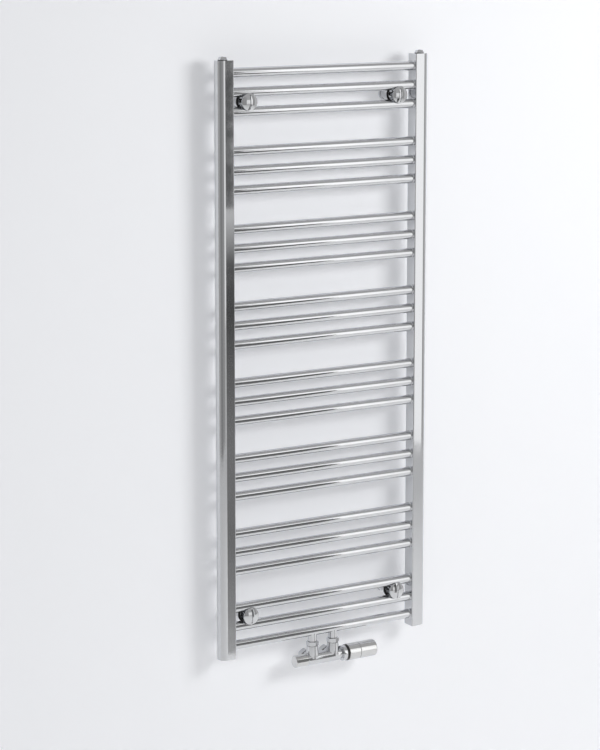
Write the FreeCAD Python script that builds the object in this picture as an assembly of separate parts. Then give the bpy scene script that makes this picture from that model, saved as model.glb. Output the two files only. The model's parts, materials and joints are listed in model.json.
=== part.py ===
import FreeCAD, Part
import math
import os

Vector = FreeCAD.Vector
ALONG_X = Vector(1, 0, 0)
ALONG_Y = Vector(0, 1, 0)
ALONG_Z = Vector(0, 0, 1)

# ---------------------------------------------------------------------------
# Driving dimensions, in millimetres.
# The wall is the plane Y = 0 and the room is on the -Y side. +Z is up.
# The origin is the centre of the four wall fixings.
# ---------------------------------------------------------------------------

# Layout of the radiator
overall_width = 500.0
tube_pitch = 39.0
tubes_in_bank = 3
bank_count = 8
end_margin = 25.0           # last tube's axis to the end of a collector
wall_to_axis = 48.0         # wall to the axes of the tubes

# Collectors: a D profile, flat at the front, back and inner side
collector_depth = 30.0
collector_flat = 20.0       # width of the flat front, before the round outer side
collector_wall = 1.8
collector_corner = 2.0

# Cross tubes
tube_diameter = 20.0
tube_wall = 1.5
tube_insertion = 2.0        # how far a tube's end stands out inside the collector
braze_gap = 0.05            # between brazed or screwed pieces that never move
running_gap = 0.05          # radial, between pieces that turn or slide on each other
partition_thickness = 3.0

# End plates and plugs of the collectors
end_plate_thickness = 4.0
plug_base_radius = 10.0
plug_top_radius = 7.5
plug_height = 6.0
plug_shank_radius = 8.2
plug_shank_length = 10.0
plug_seal_thickness = 1.0
plug_seal_radius = 9.6
vent_bore_radius = 1.5
vent_screw_radius = 2.5
vent_screw_length = 8.0
vent_tip_length = 1.5
vent_head_radius = 3.5
vent_head_height = 1.6
vent_head_gap = 0.3
vent_slot_width = 1.0
vent_slot_depth = 0.8

# Wall brackets
bracket_inset = 37.0        # inner side of a collector to a bracket's axis
bracket_places_in = 1.5     # pitches from the outermost tube to a bracket
knob_radius = 17.5
knob_rim_thickness = 2.5
knob_dome_height = 4.5
knob_slot_width = 2.2
knob_slot_depth = 2.0
knob_slot_length = 29.0
knob_hub_gap = 0.5          # hub to the tubes on either side of it
knob_hub_length = 6.0
knob_stem_radius = 4.0
knob_stem_reach = 3.0       # stem's end, behind the back of the saddle
saddle_radius = 18.0
saddle_thickness = 3.0
saddle_boss_radius = 13.8
saddle_boss_drop = 0.2      # boss, behind the front of the pad
saddle_thread_length = 4.0  # threaded web inside the spigot
pad_thickness = 2.5
pad_side_gap = 0.2
spigot_radius = 9.0
spigot_bore_radius = 4.6
sleeve_wall = 3.0
sleeve_floor = 3.0
depth_travel = 6.0          # each way, of the spigots in their sleeves
depth_room = 0.5            # left at either end of that travel
rose_radius = 14.5          # flange of a sleeve, on the wall
rose_thickness = 4.0
rose_taper = 1.0
wall_screw_hole_radius = 2.75
grub_radius = 2.0
grub_place = 20.0           # wall to the axis of the grub screw
grub_tip_gap = 0.1
grub_head_drop = 0.2
grub_socket_radius = 1.0

# Connection below the bottom tube
port_spacing = 50.0         # between the flow and return axes
port_radius = 6.0
socket_radius = 9.5
socket_drop = 21.0          # tube axis to the lower end of a socket
nipple_radius = 7.2
nipple_bore_radius = 5.0
nipple_engagement = 8.0
nipple_flange_radius = 9.4
nipple_flange_thickness = 2.0
nut_flats = 23.0            # union nuts, across flats
nut_height = 9.5
nut_lip = 2.4
nut_face_gap = 0.4
union_seal_thickness = 1.0
valve_drop = 60.0           # tube axis to the axis of the valve

# Valve body
body_radius = 13.0
body_end_left = 14.5        # return port axis to the body's left end
body_end_right = 13.5       # flow port axis to the body's right end
chamber_radius = 8.25
seat_thickness = 3.0
seat_radius = 5.0
inner_chamber_radius = 6.0
core_half_length = 6.0      # solid core between the two inner chambers
cross_port_radius = 3.0
branch_top_radius = 12.0
branch_spigot_radius = 9.5
wall_branch_radius = 11.0
wall_branch_length = 22.0   # valve axis to the shoulder of a wall branch
pipe_radius = 7.5           # 15 mm pipe
pipe_gap = 0.05
pipe_stop_reach = 17.0      # valve axis to the stop for a pipe
pipe_spigot_length = 8.0
pipe_nut_flats = 24.0
pipe_nut_length = 14.6
olive_length = 4.0
olive_radius = 8.7
olive_edge = 0.6

# Thermostatic insert and head, each length along the valve
insert_thread_length = 8.5
insert_neck_radius = 10.0
insert_neck_length = 11.5
insert_neck_shown = 6.8     # between the body and the collar
spring_pocket_radius = 5.0
spring_pocket_floor = 3.0
gland_nut_radius = 6.2
gland_nut_length = 4.0
stem_radius = 2.5
stem_standout = 2.0         # beyond the collar
stem_flange_radius = 4.4
stem_flange_thickness = 1.0
stem_flange_room = 2.0      # flange to the gland nut
disc_radius = 6.5
disc_thickness = 3.0
disc_recess = 1.65
disc_lift = 1.35            # open gap between the disc and its seat at rest
spring_wire_radius = 0.5
spring_radius = 3.8
spring_pitch = 1.9
spring_end_gap = 0.1
collar_length = 8.7
collar_radius = 16.3
collar_chamfer = 1.0
pin_way_radius = 7.2
ring_length = 5.0
ring_radius = 16.8
head_radius = 18.0
head_base_length = 27.5
wheel_length = 40.9
head_wall = 2.4
head_floor = 3.0
head_face_gap = 0.4         # groove between the base and the handwheel
head_edge = 0.6
head_end_round = 3.0
wheel_spigot_length = 7.0
capsule_radius = 13.0
capsule_wall = 0.6
capsule_base_room = 4.0
capsule_end_room = 2.9
capsule_pin_radius = 2.5
capsule_pin_gap = 0.05
capsule_pin_room = 1.0
piston_drop = 1.0           # piston's face, inside the capsule's mouth
piston_thickness = 1.5

# Lockshield side, each length along the valve
plug_lift = 1.8             # open gap between the regulating plug and its seat at rest
plug_travel = 1.5           # each way from rest
plug_end_room = 0.45
regulator_radius = 6.5
regulator_disc = 4.0
regulator_length = 7.2
regulator_hub_radius = 5.0
regulator_nose_radius = 4.5
regulator_nose_length = 1.5
regulator_nose_taper = 0.5
regulator_bore_floor = 1.2
spindle_radius = 4.0
spindle_standout = 6.0      # beyond the gland
spindle_collar_radius = 5.5
spindle_collar_thickness = 3.0
spindle_tail_radius = 3.0
spindle_tail_room = 2.5     # tail to the floor of its bore at rest
spindle_socket_radius = 2.0
spindle_socket_depth = 5.0
gland_neck_radius = 10.0
gland_neck_length = 10.5
cap_radius = 13.0
cap_length = 29.8           # body to the cap's end
cap_face_gap = 0.4
cap_wall = 2.0
cap_end_round = 2.0
thread_gap = 0.08

# ---------------------------------------------------------------------------
# Places worked out from the driving dimensions
# ---------------------------------------------------------------------------

places = bank_count * (tubes_in_bank + 1) - 1
stack_height = (places - 1) * tube_pitch
top_axis = stack_height / 2
bottom_axis = -stack_height / 2
tube_levels = [
    top_axis - place * tube_pitch
    for place in range(places)
    if (place + 1) % (tubes_in_bank + 1) != 0
]
tube_radius = tube_diameter / 2
tube_bore_radius = tube_radius - tube_wall
collector_width = collector_flat + collector_depth / 2
collector_height = stack_height + 2 * end_margin
inner_face = overall_width / 2 - collector_width
plug_x = inner_face + collector_width / 2
axis_y = -wall_to_axis
bracket_z = top_axis - bracket_places_in * tube_pitch
bracket_x = inner_face - bracket_inset
bracket_centres = [
    (side * bracket_x, end * bracket_z) for end in (1, -1) for side in (-1, 1)
]
hub_radius = tube_pitch / 2 - tube_radius - knob_hub_gap
port_xs = [-port_spacing / 2, port_spacing / 2]
body_left = -port_spacing / 2 - body_end_left
body_right = port_spacing / 2 + body_end_right
seat_face = port_spacing / 2 - port_radius
seat_start = seat_face - seat_thickness
wall_branch_end = wall_to_axis - wall_branch_length
pipe_stop = wall_to_axis - pipe_stop_reach
pipe_nut_start = wall_branch_end - nut_face_gap - pipe_nut_length
valve_z = bottom_axis - valve_drop
socket_end = bottom_axis - socket_drop
flange_top = socket_end - nut_face_gap - nut_lip
flange_end = flange_top - nipple_flange_thickness
branch_top = flange_end - union_seal_thickness
nut_end = socket_end - nut_face_gap - nut_height
shoulder_z = nut_end - nut_face_gap
insert_inner_end = body_right - insert_thread_length
insert_outer_end = body_right + insert_neck_length
spring_floor = insert_inner_end + spring_pocket_floor
gland_nut_start = insert_outer_end - gland_nut_length
collar_start = body_right + insert_neck_shown
collar_end = collar_start + collar_length
ring_end = collar_end + ring_length
head_split = ring_end + head_base_length
head_end = head_split + wheel_length
stem_inner_end = seat_face + disc_lift + disc_recess
stem_outer_end = collar_end + stem_standout
stem_flange_end = gland_nut_start - stem_flange_room
stem_flange_start = stem_flange_end - stem_flange_thickness
capsule_start = ring_end + head_floor + capsule_base_room
capsule_end = head_end - head_floor - capsule_end_room
regulator_face = seat_face + plug_lift
regulator_end = regulator_face + regulator_length
spindle_collar_inner = regulator_end + plug_travel + plug_end_room
spindle_collar_outer = spindle_collar_inner + spindle_collar_thickness
spindle_tail_end = regulator_face + regulator_bore_floor + spindle_tail_room
gland_inner_end = spindle_collar_outer + running_gap
gland_outer_end = -body_left + gland_neck_length
spindle_outer_end = gland_outer_end + spindle_standout
cap_outer_end = -body_left + cap_length


# ---------------------------------------------------------------------------
# Small builders
# ---------------------------------------------------------------------------

def rod(base, direction, length, radius):
    """A round bar from base, length long along direction."""
    return Part.makeCylinder(radius, length, base, direction)


def pipe(base, direction, length, radius, bore_radius):
    """A round tube, open at both ends."""
    over = 1.0
    bore = rod(base - direction * over, direction, length + 2 * over, bore_radius)
    return rod(base, direction, length, radius).cut(bore)


def turned(profile, base, direction):
    """A solid of revolution about the line through base along direction.

    The profile is a closed list of (distance along the axis, radius) pairs.
    """
    aside = ALONG_Z if abs(direction.z) < 0.5 else ALONG_X
    points = [base + direction * along + aside * radius for along, radius in profile]
    outline = Part.makePolygon(points + points[:1])
    return Part.Face(outline).revolve(base, direction, 360)


def hexagon_bar(base, direction, length, flats):
    """A six-sided bar with a flat towards each side of X, from base along direction."""
    corner = flats / math.sqrt(3)
    aside = ALONG_Z if abs(direction.z) < 0.5 else ALONG_Y
    across = direction.cross(aside)
    points = []
    for step in range(7):
        angle = step * math.pi / 3
        points.append(base + aside * (corner * math.cos(angle)) + across * (corner * math.sin(angle)))
    return Part.Face(Part.makePolygon(points)).extrude(direction * length)


def chamfered_hexagon(base, direction, length, flats):
    """A hexagon bar whose corners are turned off at both ends, as on a nut."""
    corner = flats / math.sqrt(3)
    land = flats / 2 - 0.2
    slope = (corner - land) * 0.6
    envelope = turned(
        [(0, 0), (0, land), (slope, corner), (length - slope, corner), (length, land), (length, 0)],
        base,
        direction,
    )
    return hexagon_bar(base, direction, length, flats).common(envelope)


def edges_at(shape, test):
    """The edges of a shape whose centre of mass passes the test."""
    return [edge for edge in shape.Edges if test(edge.CenterOfMass)]


def slot_cutter(centre, direction, along, length, width, depth):
    """A block that cuts a screwdriver slot, depth deep against direction."""
    across = direction.cross(along)
    over = 5.0
    corner = centre - along * (length / 2) - across * (width / 2) - direction * depth
    points = [
        corner,
        corner + along * length,
        corner + along * length + across * width,
        corner + across * width,
        corner,
    ]
    return Part.Face(Part.makePolygon(points)).extrude(direction * (depth + over))


# ---------------------------------------------------------------------------
# Radiator
# ---------------------------------------------------------------------------

def d_profile_bar(inset, bottom, height):
    """A right-hand D-profile bar, its outline inset by that much all round."""
    half = collector_depth / 2 - inset
    round_x = inner_face + collector_flat
    start_x = inner_face + inset
    flat = Part.makeBox(round_x - start_x, 2 * half, height, Vector(start_x, axis_y - half, bottom))
    corner = max(collector_corner - inset, 0.2)
    inner_edges = edges_at(
        flat,
        lambda point: abs(point.x - start_x) < 0.01 and abs(abs(point.y - axis_y) - half) < 0.01
    )
    flat = flat.makeFillet(corner, inner_edges)
    outer_side = rod(Vector(round_x, axis_y, bottom), ALONG_Z, height, half)
    return flat.fuse(outer_side).removeSplitter()


def mirrored(shape):
    """The same shape on the other side of the plane X = 0."""
    return shape.mirror(Vector(0, 0, 0), ALONG_X)


def right_collector():
    """The hollow D-profile upright, with one hole for each cross tube."""
    over = 1.0
    bar = d_profile_bar(0, -collector_height / 2, collector_height)
    hollow = d_profile_bar(collector_wall, -collector_height / 2 - over, collector_height + 2 * over)
    shell = bar.cut(hollow)
    holes = [
        rod(
            Vector(inner_face - over, axis_y, level),
            ALONG_X,
            collector_wall + 2 * over,
            tube_radius + braze_gap,
        )
        for level in tube_levels
    ]
    return shell.cut(holes)


def end_plate(bottom, has_hole):
    """A plate that closes one end of the right collector, flush with the end."""
    plate = d_profile_bar(collector_wall + braze_gap, bottom, end_plate_thickness)
    if has_hole:
        hole = rod(
            Vector(plug_x, axis_y, bottom - 1),
            ALONG_Z,
            end_plate_thickness + 2,
            plug_shank_radius + braze_gap,
        )
        plate = plate.cut(hole)
    return plate


def end_plates(bottom, has_hole):
    """The left and right plates at one end."""
    plate = end_plate(bottom, has_hole)
    return Part.makeCompound([mirrored(plate), plate])


def cross_tube(level):
    """One hollow tube between the collectors. The lowest also has the two ports."""
    reach = inner_face + collector_wall + tube_insertion
    tube = pipe(Vector(-reach, axis_y, level), ALONG_X, 2 * reach, tube_radius, tube_bore_radius)
    if level == tube_levels[-1]:
        ports = [rod(Vector(x, axis_y, level), ALONG_Z * -1, tube_diameter, port_radius) for x in port_xs]
        tube = tube.cut(ports)
    return tube


def flow_partition():
    """The disc inside the lowest tube that keeps the flow and return apart."""
    start = Vector(-partition_thickness / 2, axis_y, bottom_axis)
    return rod(start, ALONG_X, partition_thickness, tube_bore_radius - braze_gap)


def connection_socket(x):
    """A threaded socket brazed under the lowest tube."""
    socket = pipe(
        Vector(x, axis_y, socket_end),
        ALONG_Z,
        socket_drop,
        socket_radius,
        nipple_radius + braze_gap,
    )
    reach = socket_radius + 1
    seat = rod(Vector(x - reach, axis_y, bottom_axis), ALONG_X, 2 * reach, tube_radius + braze_gap)
    return socket.cut(seat)


# ---------------------------------------------------------------------------
# Plugs on top of the collectors
# ---------------------------------------------------------------------------

def plug_blank(x):
    """A tapered plug, seated on its seal on an end plate."""
    seat = collector_height / 2 + plug_seal_thickness
    return turned(
        [
            (-plug_seal_thickness - plug_shank_length, 0),
            (-plug_seal_thickness - plug_shank_length, plug_shank_radius),
            (0, plug_shank_radius),
            (0, plug_base_radius),
            (plug_height, plug_top_radius),
            (plug_height, 0),
        ],
        Vector(x, axis_y, seat),
        ALONG_Z,
    )


def plug_seal(x):
    """The flat ring under a plug."""
    base = Vector(x, axis_y, collector_height / 2)
    return pipe(base, ALONG_Z, plug_seal_thickness, plug_seal_radius, plug_shank_radius + braze_gap)


def vent_screw_top():
    """Height of the top of the vent screw, just under the top of its plug."""
    return collector_height / 2 + plug_seal_thickness + plug_height - vent_head_gap


def vent_plug():
    """The left plug, bored for the vent screw and cross-drilled for the air."""
    blank = plug_blank(-plug_x)
    top = vent_screw_top()
    seat = top - vent_head_height
    tip = seat - vent_screw_length
    centre = Vector(-plug_x, axis_y, 0)
    head_room = rod(
        centre + ALONG_Z * seat,
        ALONG_Z,
        vent_head_height + 2 * vent_head_gap,
        vent_head_radius + running_gap,
    )
    screw_room = rod(
        centre + ALONG_Z * (tip - vent_tip_length),
        ALONG_Z,
        vent_screw_length + 2 * vent_tip_length,
        vent_screw_radius + running_gap,
    )
    air_way = rod(centre + ALONG_Z * (tip - collector_depth), ALONG_Z, collector_depth, vent_bore_radius)
    outlet_z = collector_height / 2 + plug_seal_thickness + vent_head_height
    outlet = rod(centre + ALONG_Z * outlet_z, ALONG_X * -1, plug_base_radius + 1, vent_bore_radius / 2)
    return blank.cut([head_room, screw_room, air_way, outlet])


def vent_screw():
    """The slotted screw that opens the vent, with a cone tip on its seat."""
    top = vent_screw_top()
    seat = top - vent_head_height
    screw = turned(
        [
            (-vent_screw_length - vent_tip_length + vent_head_gap, 0),
            (-vent_screw_length - vent_tip_length + vent_head_gap, vent_bore_radius / 2),
            (-vent_screw_length, vent_screw_radius),
            (0, vent_screw_radius),
            (0, vent_head_radius),
            (vent_head_height, vent_head_radius),
            (vent_head_height, 0),
        ],
        Vector(-plug_x, axis_y, seat),
        ALONG_Z,
    )
    slot = slot_cutter(
        Vector(-plug_x, axis_y, top),
        ALONG_Z,
        ALONG_X,
        3 * vent_head_radius,
        vent_slot_width,
        vent_slot_depth,
    )
    return screw.cut(slot)


# ---------------------------------------------------------------------------
# Wall brackets. Distances are measured from the wall towards the room.
# ---------------------------------------------------------------------------

rim_offset = max(tube_pitch / 2 - knob_radius, 0)
knob_back = wall_to_axis + math.sqrt(tube_radius ** 2 - rim_offset ** 2) + braze_gap
pad_offset = max(tube_pitch / 2 - saddle_radius, 0)
pad_front = wall_to_axis - math.sqrt(tube_radius ** 2 - pad_offset ** 2) - braze_gap
pad_back = pad_front - pad_thickness
saddle_back = pad_back - saddle_thickness
spigot_end = sleeve_floor + depth_travel + depth_room
sleeve_length = saddle_back - depth_travel - depth_room
sleeve_radius = spigot_radius + running_gap + sleeve_wall
TO_ROOM = Vector(0, -1, 0)


def dome_profile(radius, start, height):
    """Points of a shallow dome from its rim to its crown, as (distance, radius)."""
    sphere_radius = (radius ** 2 + height ** 2) / (2 * height)
    steps = 8
    full = math.asin(radius / sphere_radius)
    profile = []
    for step in range(steps + 1):
        angle = full * (1 - step / steps)
        drop = sphere_radius * (math.cos(angle) - math.cos(full))
        profile.append((start + drop, sphere_radius * math.sin(angle)))
    return profile


def clamp_knob(x, z):
    """A slotted domed disc in front of two tubes, with its threaded stem."""
    stem_end = saddle_back - knob_stem_reach
    hub_end = knob_back - knob_hub_length
    profile = [
        (stem_end, 0),
        (stem_end, knob_stem_radius),
        (hub_end, knob_stem_radius),
        (hub_end, hub_radius),
        (knob_back, hub_radius),
        (knob_back, knob_radius),
    ]
    profile += dome_profile(knob_radius, knob_back + knob_rim_thickness, knob_dome_height)
    knob = turned(profile, Vector(x, 0, z), TO_ROOM)
    crown = knob_back + knob_rim_thickness + knob_dome_height
    slot = slot_cutter(
        Vector(x, -crown, z),
        TO_ROOM,
        ALONG_Z,
        knob_slot_length,
        knob_slot_width,
        knob_slot_depth,
    )
    return knob.cut(slot)


def rear_saddle(x, z):
    """The disc behind the tubes, with a boss for the knob and a spigot for the sleeve."""
    boss_front = pad_front - saddle_boss_drop
    bore = knob_stem_radius + braze_gap
    return turned(
        [
            (spigot_end, spigot_bore_radius),
            (spigot_end, spigot_radius),
            (saddle_back, spigot_radius),
            (saddle_back, saddle_radius),
            (pad_back, saddle_radius),
            (pad_back, saddle_boss_radius),
            (boss_front, saddle_boss_radius),
            (boss_front, bore),
            (saddle_back - saddle_thread_length, bore),
            (saddle_back - saddle_thread_length, spigot_bore_radius),
        ],
        Vector(x, 0, z),
        TO_ROOM,
    )


def saddle_pad(x, z):
    """The rubber ring between a saddle and its two tubes."""
    base = Vector(x, -pad_front, z)
    bore = saddle_boss_radius + pad_side_gap
    return pipe(base, ALONG_Y, pad_thickness, saddle_radius, bore)


def wall_sleeve(x, z):
    """The sleeve on the wall, with its flange, wall screw hole and grub screw hole."""
    sleeve = turned(
        [
            (0, wall_screw_hole_radius),
            (0, rose_radius),
            (rose_thickness, rose_radius - rose_taper),
            (rose_thickness, sleeve_radius),
            (sleeve_length, sleeve_radius),
            (sleeve_length, spigot_radius + running_gap),
            (sleeve_floor, spigot_radius + running_gap),
            (sleeve_floor, wall_screw_hole_radius),
        ],
        Vector(x, 0, z),
        TO_ROOM,
    )
    hole = rod(Vector(x, -grub_place, z), ALONG_Z * -1, sleeve_radius + 1, grub_radius + braze_gap)
    return sleeve.cut(hole)


def sleeve_grub(x, z):
    """The grub screw that holds a spigot in its sleeve."""
    start = spigot_radius + running_gap + grub_tip_gap
    length = sleeve_radius - start - grub_head_drop
    base = Vector(x, -grub_place, z - start)
    screw = rod(base, ALONG_Z * -1, length, grub_radius)
    socket = hexagon_bar(
        base - ALONG_Z * (length / 2), ALONG_Z * -1, length, 2 * grub_socket_radius
    )
    return screw.cut(socket)


def at_brackets(build):
    """One copy of a bracket piece at each of the four brackets."""
    return Part.makeCompound([build(x, z) for x, z in bracket_centres])


# ---------------------------------------------------------------------------
# Valve: unions to the radiator
# ---------------------------------------------------------------------------

def radiator_nipple(x):
    """The flanged nipple screwed into a socket."""
    top = socket_end + nipple_engagement
    return turned(
        [
            (flange_end, nipple_bore_radius),
            (flange_end, nipple_flange_radius),
            (flange_top, nipple_flange_radius),
            (flange_top, nipple_radius),
            (top, nipple_radius),
            (top, nipple_bore_radius),
        ],
        Vector(x, axis_y, 0),
        ALONG_Z,
    )


def union_nut(x):
    """The nut that draws a nipple down on its branch."""
    top = socket_end - nut_face_gap
    blank = chamfered_hexagon(Vector(x, axis_y, nut_end), ALONG_Z, nut_height, nut_flats)
    lip_bore = rod(Vector(x, axis_y, nut_end - 1), ALONG_Z, nut_height + 2, nipple_radius + braze_gap)
    flange_room = rod(
        Vector(x, axis_y, nut_end - 1),
        ALONG_Z,
        top - nut_lip + braze_gap - nut_end + 1,
        branch_spigot_radius + braze_gap,
    )
    return blank.cut([lip_bore, flange_room])


def union_seal(x):
    """The flat ring between a nipple's flange and its branch."""
    base = Vector(x, axis_y, branch_top)
    return pipe(base, ALONG_Z, union_seal_thickness, nipple_flange_radius, port_radius)


# ---------------------------------------------------------------------------
# Valve body
# ---------------------------------------------------------------------------

def on_valve(distance):
    """The point of the valve's axis at that distance to the right of its centre."""
    return Vector(distance, axis_y, valve_z)


def valve_body():
    """The body: a bar with two branches up and two back to the wall."""
    shell = rod(on_valve(body_left), ALONG_X, body_right - body_left, body_radius)
    for x in port_xs:
        taper_top = shoulder_z - valve_z
        taper_end = taper_top / 2
        branch = turned(
            [
                (0, 0),
                (0, body_radius),
                (taper_end, body_radius),
                (taper_top, branch_top_radius),
                (taper_top, branch_spigot_radius),
                (branch_top - valve_z, branch_spigot_radius),
                (branch_top - valve_z, 0),
            ],
            Vector(x, axis_y, valve_z),
            ALONG_Z,
        )
        wall_branch = rod(
            Vector(x, axis_y, valve_z), ALONG_Y, wall_to_axis - wall_branch_end, wall_branch_radius
        )
        spigot = rod(
            Vector(x, -wall_branch_end, valve_z), ALONG_Y, pipe_spigot_length, branch_spigot_radius
        )
        shell = shell.fuse([branch, wall_branch, spigot])
    shell = shell.removeSplitter()
    cutters = []
    for side, end in ((-1, -body_left), (1, body_right)):
        outward = ALONG_X * side
        port_x = side * port_spacing / 2
        cutters.append(rod(on_valve(side * seat_face), outward, end - seat_face + 1, chamber_radius))
        cutters.append(rod(on_valve(side * seat_start), outward, seat_thickness + 1, seat_radius))
        cutters.append(
            rod(
                on_valve(side * core_half_length),
                outward,
                seat_start - core_half_length,
                inner_chamber_radius,
            )
        )
        cutters.append(rod(Vector(port_x, axis_y, valve_z), ALONG_Z, branch_top - valve_z + 1, port_radius))
        stop = Vector(port_x, -pipe_stop, valve_z)
        cutters.append(rod(stop, ALONG_Y, pipe_stop, pipe_radius + pipe_gap))
        inner = on_valve(side * (core_half_length + seat_start) / 2)
        aim = Vector(port_x - side * port_radius, -pipe_stop + 1, valve_z) - inner
        way = aim.Length
        cutters.append(rod(inner, aim.normalize(), way, cross_port_radius))
    return shell.cut(cutters)


def olive(x):
    """The compression ring on a pipe, between the spigot and the nut."""
    start = wall_branch_end - pipe_spigot_length
    bore = pipe_radius + pipe_gap
    return turned(
        [
            (start - olive_length, bore),
            (start - olive_length, olive_radius - olive_edge),
            (start - olive_length / 2, olive_radius),
            (start - braze_gap, olive_radius - olive_edge),
            (start - braze_gap, bore),
        ],
        Vector(x, 0, valve_z),
        TO_ROOM,
    )


def pipe_nut(x):
    """The nut that presses an olive on its pipe."""
    base = Vector(x, -pipe_nut_start, valve_z)
    blank = chamfered_hexagon(base, TO_ROOM, pipe_nut_length, pipe_nut_flats)
    bore = rod(base - TO_ROOM, TO_ROOM, pipe_nut_length + 2, pipe_radius + pipe_gap)
    room_start = wall_branch_end - pipe_spigot_length - olive_length - braze_gap
    room = rod(
        Vector(x, -room_start, valve_z), TO_ROOM, wall_branch_end, branch_spigot_radius + braze_gap
    )
    return blank.cut([bore, room])


# ---------------------------------------------------------------------------
# Thermostatic insert and head, on the right
# ---------------------------------------------------------------------------

def insert_bonnet():
    """The insert's housing, screwed into the body and holding the spring and stem."""
    thread_radius = chamber_radius - braze_gap
    stem_bore = stem_radius + running_gap
    return turned(
        [
            (insert_inner_end, stem_bore),
            (insert_inner_end, thread_radius),
            (body_right, thread_radius),
            (body_right, insert_neck_radius),
            (insert_outer_end, insert_neck_radius),
            (insert_outer_end, gland_nut_radius + braze_gap),
            (gland_nut_start, gland_nut_radius + braze_gap),
            (gland_nut_start, spring_pocket_radius),
            (spring_floor, spring_pocket_radius),
            (spring_floor, stem_bore),
        ],
        on_valve(0),
        ALONG_X,
    )


def gland_nut():
    """The nut that closes the insert round its stem."""
    stem_bore = stem_radius + running_gap
    return pipe(on_valve(gland_nut_start), ALONG_X, gland_nut_length, gland_nut_radius, stem_bore)


def valve_stem():
    """The stem, with the flange that the spring pushes on."""
    return turned(
        [
            (stem_inner_end, 0),
            (stem_inner_end, stem_radius),
            (stem_flange_start, stem_radius),
            (stem_flange_start, stem_flange_radius),
            (stem_flange_end, stem_flange_radius),
            (stem_flange_end, stem_radius),
            (stem_outer_end, stem_radius),
            (stem_outer_end, 0),
        ],
        on_valve(0),
        ALONG_X,
    )


def valve_disc():
    """The rubber disc on the stem's inner end, which closes the seat."""
    face = seat_face + disc_lift
    return turned(
        [
            (face, 0),
            (face, disc_radius),
            (face + disc_thickness, disc_radius),
            (face + disc_thickness, stem_radius + braze_gap),
            (stem_inner_end - braze_gap, stem_radius + braze_gap),
            (stem_inner_end - braze_gap, 0),
        ],
        on_valve(0),
        ALONG_X,
    )


def stem_spring():
    """The coil spring that lifts the stem off its seat."""
    start = spring_floor + spring_wire_radius + spring_end_gap
    end = stem_flange_start - spring_wire_radius - spring_end_gap
    coil = Part.makeHelix(spring_pitch, end - start, spring_radius)
    circle = Part.Circle(Vector(spring_radius, 0, 0), Vector(0, 1, 0), spring_wire_radius)
    section = Part.Wire([circle.toShape()])
    spring = Part.Wire(coil.Edges).makePipeShell([section], True, True)
    spring.rotate(Vector(0, 0, 0), ALONG_Y, 90)
    spring.translate(on_valve(start))
    return spring


def head_collar():
    """The nut that holds the head on the insert."""
    bore = insert_neck_radius + braze_gap
    return turned(
        [
            (collar_start, bore),
            (collar_start, collar_radius - collar_chamfer),
            (collar_start + collar_chamfer, collar_radius),
            (collar_end, collar_radius),
            (collar_end, pin_way_radius),
            (insert_outer_end + braze_gap, pin_way_radius),
            (insert_outer_end + braze_gap, bore),
        ],
        on_valve(0),
        ALONG_X,
    )


def head_ring():
    """The black ring between the collar and the head's base."""
    length = ring_length - 2 * braze_gap
    return pipe(on_valve(collar_end + braze_gap), ALONG_X, length, ring_radius, pin_way_radius)


base_bore_radius = head_radius - head_wall
head_base_end = head_split - head_face_gap / 2


def head_base():
    """The fixed half of the head, a cup with a hole for the capsule's pin."""
    pin_hole = capsule_pin_radius + capsule_pin_room
    return turned(
        [
            (ring_end, pin_hole),
            (ring_end, head_radius - head_edge),
            (ring_end + head_edge, head_radius),
            (head_base_end - head_edge, head_radius),
            (head_base_end, head_radius - head_edge),
            (head_base_end, base_bore_radius),
            (ring_end + head_floor, base_bore_radius),
            (ring_end + head_floor, pin_hole),
        ],
        on_valve(0),
        ALONG_X,
    )


def handwheel():
    """The turning half of the head, with its spigot and the sleeve of the capsule."""
    start = head_split + head_face_gap / 2
    spigot_start = head_base_end - wheel_spigot_length
    spigot_outer = base_bore_radius - running_gap
    end_floor = head_end - head_floor
    sleeve_bore = capsule_radius + running_gap
    wheel = turned(
        [
            (spigot_start, sleeve_bore),
            (spigot_start, spigot_outer),
            (start, spigot_outer),
            (start, head_radius - head_edge),
            (start + head_edge, head_radius),
            (head_end, head_radius),
            (head_end, 0),
            (end_floor, 0),
            (end_floor, sleeve_bore),
        ],
        on_valve(0),
        ALONG_X,
    )
    rim = edges_at(wheel, lambda point: abs(point.x - head_end) < 0.01)
    return wheel.makeFillet(head_end_round, rim)


def sensor_capsule():
    """The can of the temperature sensor, open towards the valve."""
    bore = capsule_radius - capsule_wall
    floor = capsule_end - capsule_wall
    return turned(
        [
            (capsule_start, bore),
            (capsule_start, capsule_radius),
            (capsule_end, capsule_radius),
            (capsule_end, 0),
            (floor, 0),
            (floor, bore),
        ],
        on_valve(0),
        ALONG_X,
    )


def sensor_piston():
    """The piston in the mouth of the can, with the pin that moves the stem."""
    pin_end = stem_outer_end + capsule_pin_gap
    face = capsule_start + piston_drop
    back = face + piston_thickness
    piston_radius = capsule_radius - capsule_wall - braze_gap
    return turned(
        [
            (pin_end, 0),
            (pin_end, capsule_pin_radius),
            (face, capsule_pin_radius),
            (face, piston_radius),
            (back, piston_radius),
            (back, 0),
        ],
        on_valve(0),
        ALONG_X,
    )


# ---------------------------------------------------------------------------
# Lockshield side, on the left
# ---------------------------------------------------------------------------

TO_LEFT = Vector(-1, 0, 0)


def lockshield_gland():
    """The gland screwed into the body's left end, with the thread for the cap."""
    thread_radius = chamber_radius - braze_gap
    spindle_bore = spindle_radius + running_gap
    return turned(
        [
            (gland_inner_end, spindle_bore),
            (gland_inner_end, thread_radius),
            (-body_left, thread_radius),
            (-body_left, gland_neck_radius),
            (gland_outer_end, gland_neck_radius),
            (gland_outer_end, spindle_bore),
        ],
        on_valve(0),
        TO_LEFT,
    )


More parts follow.
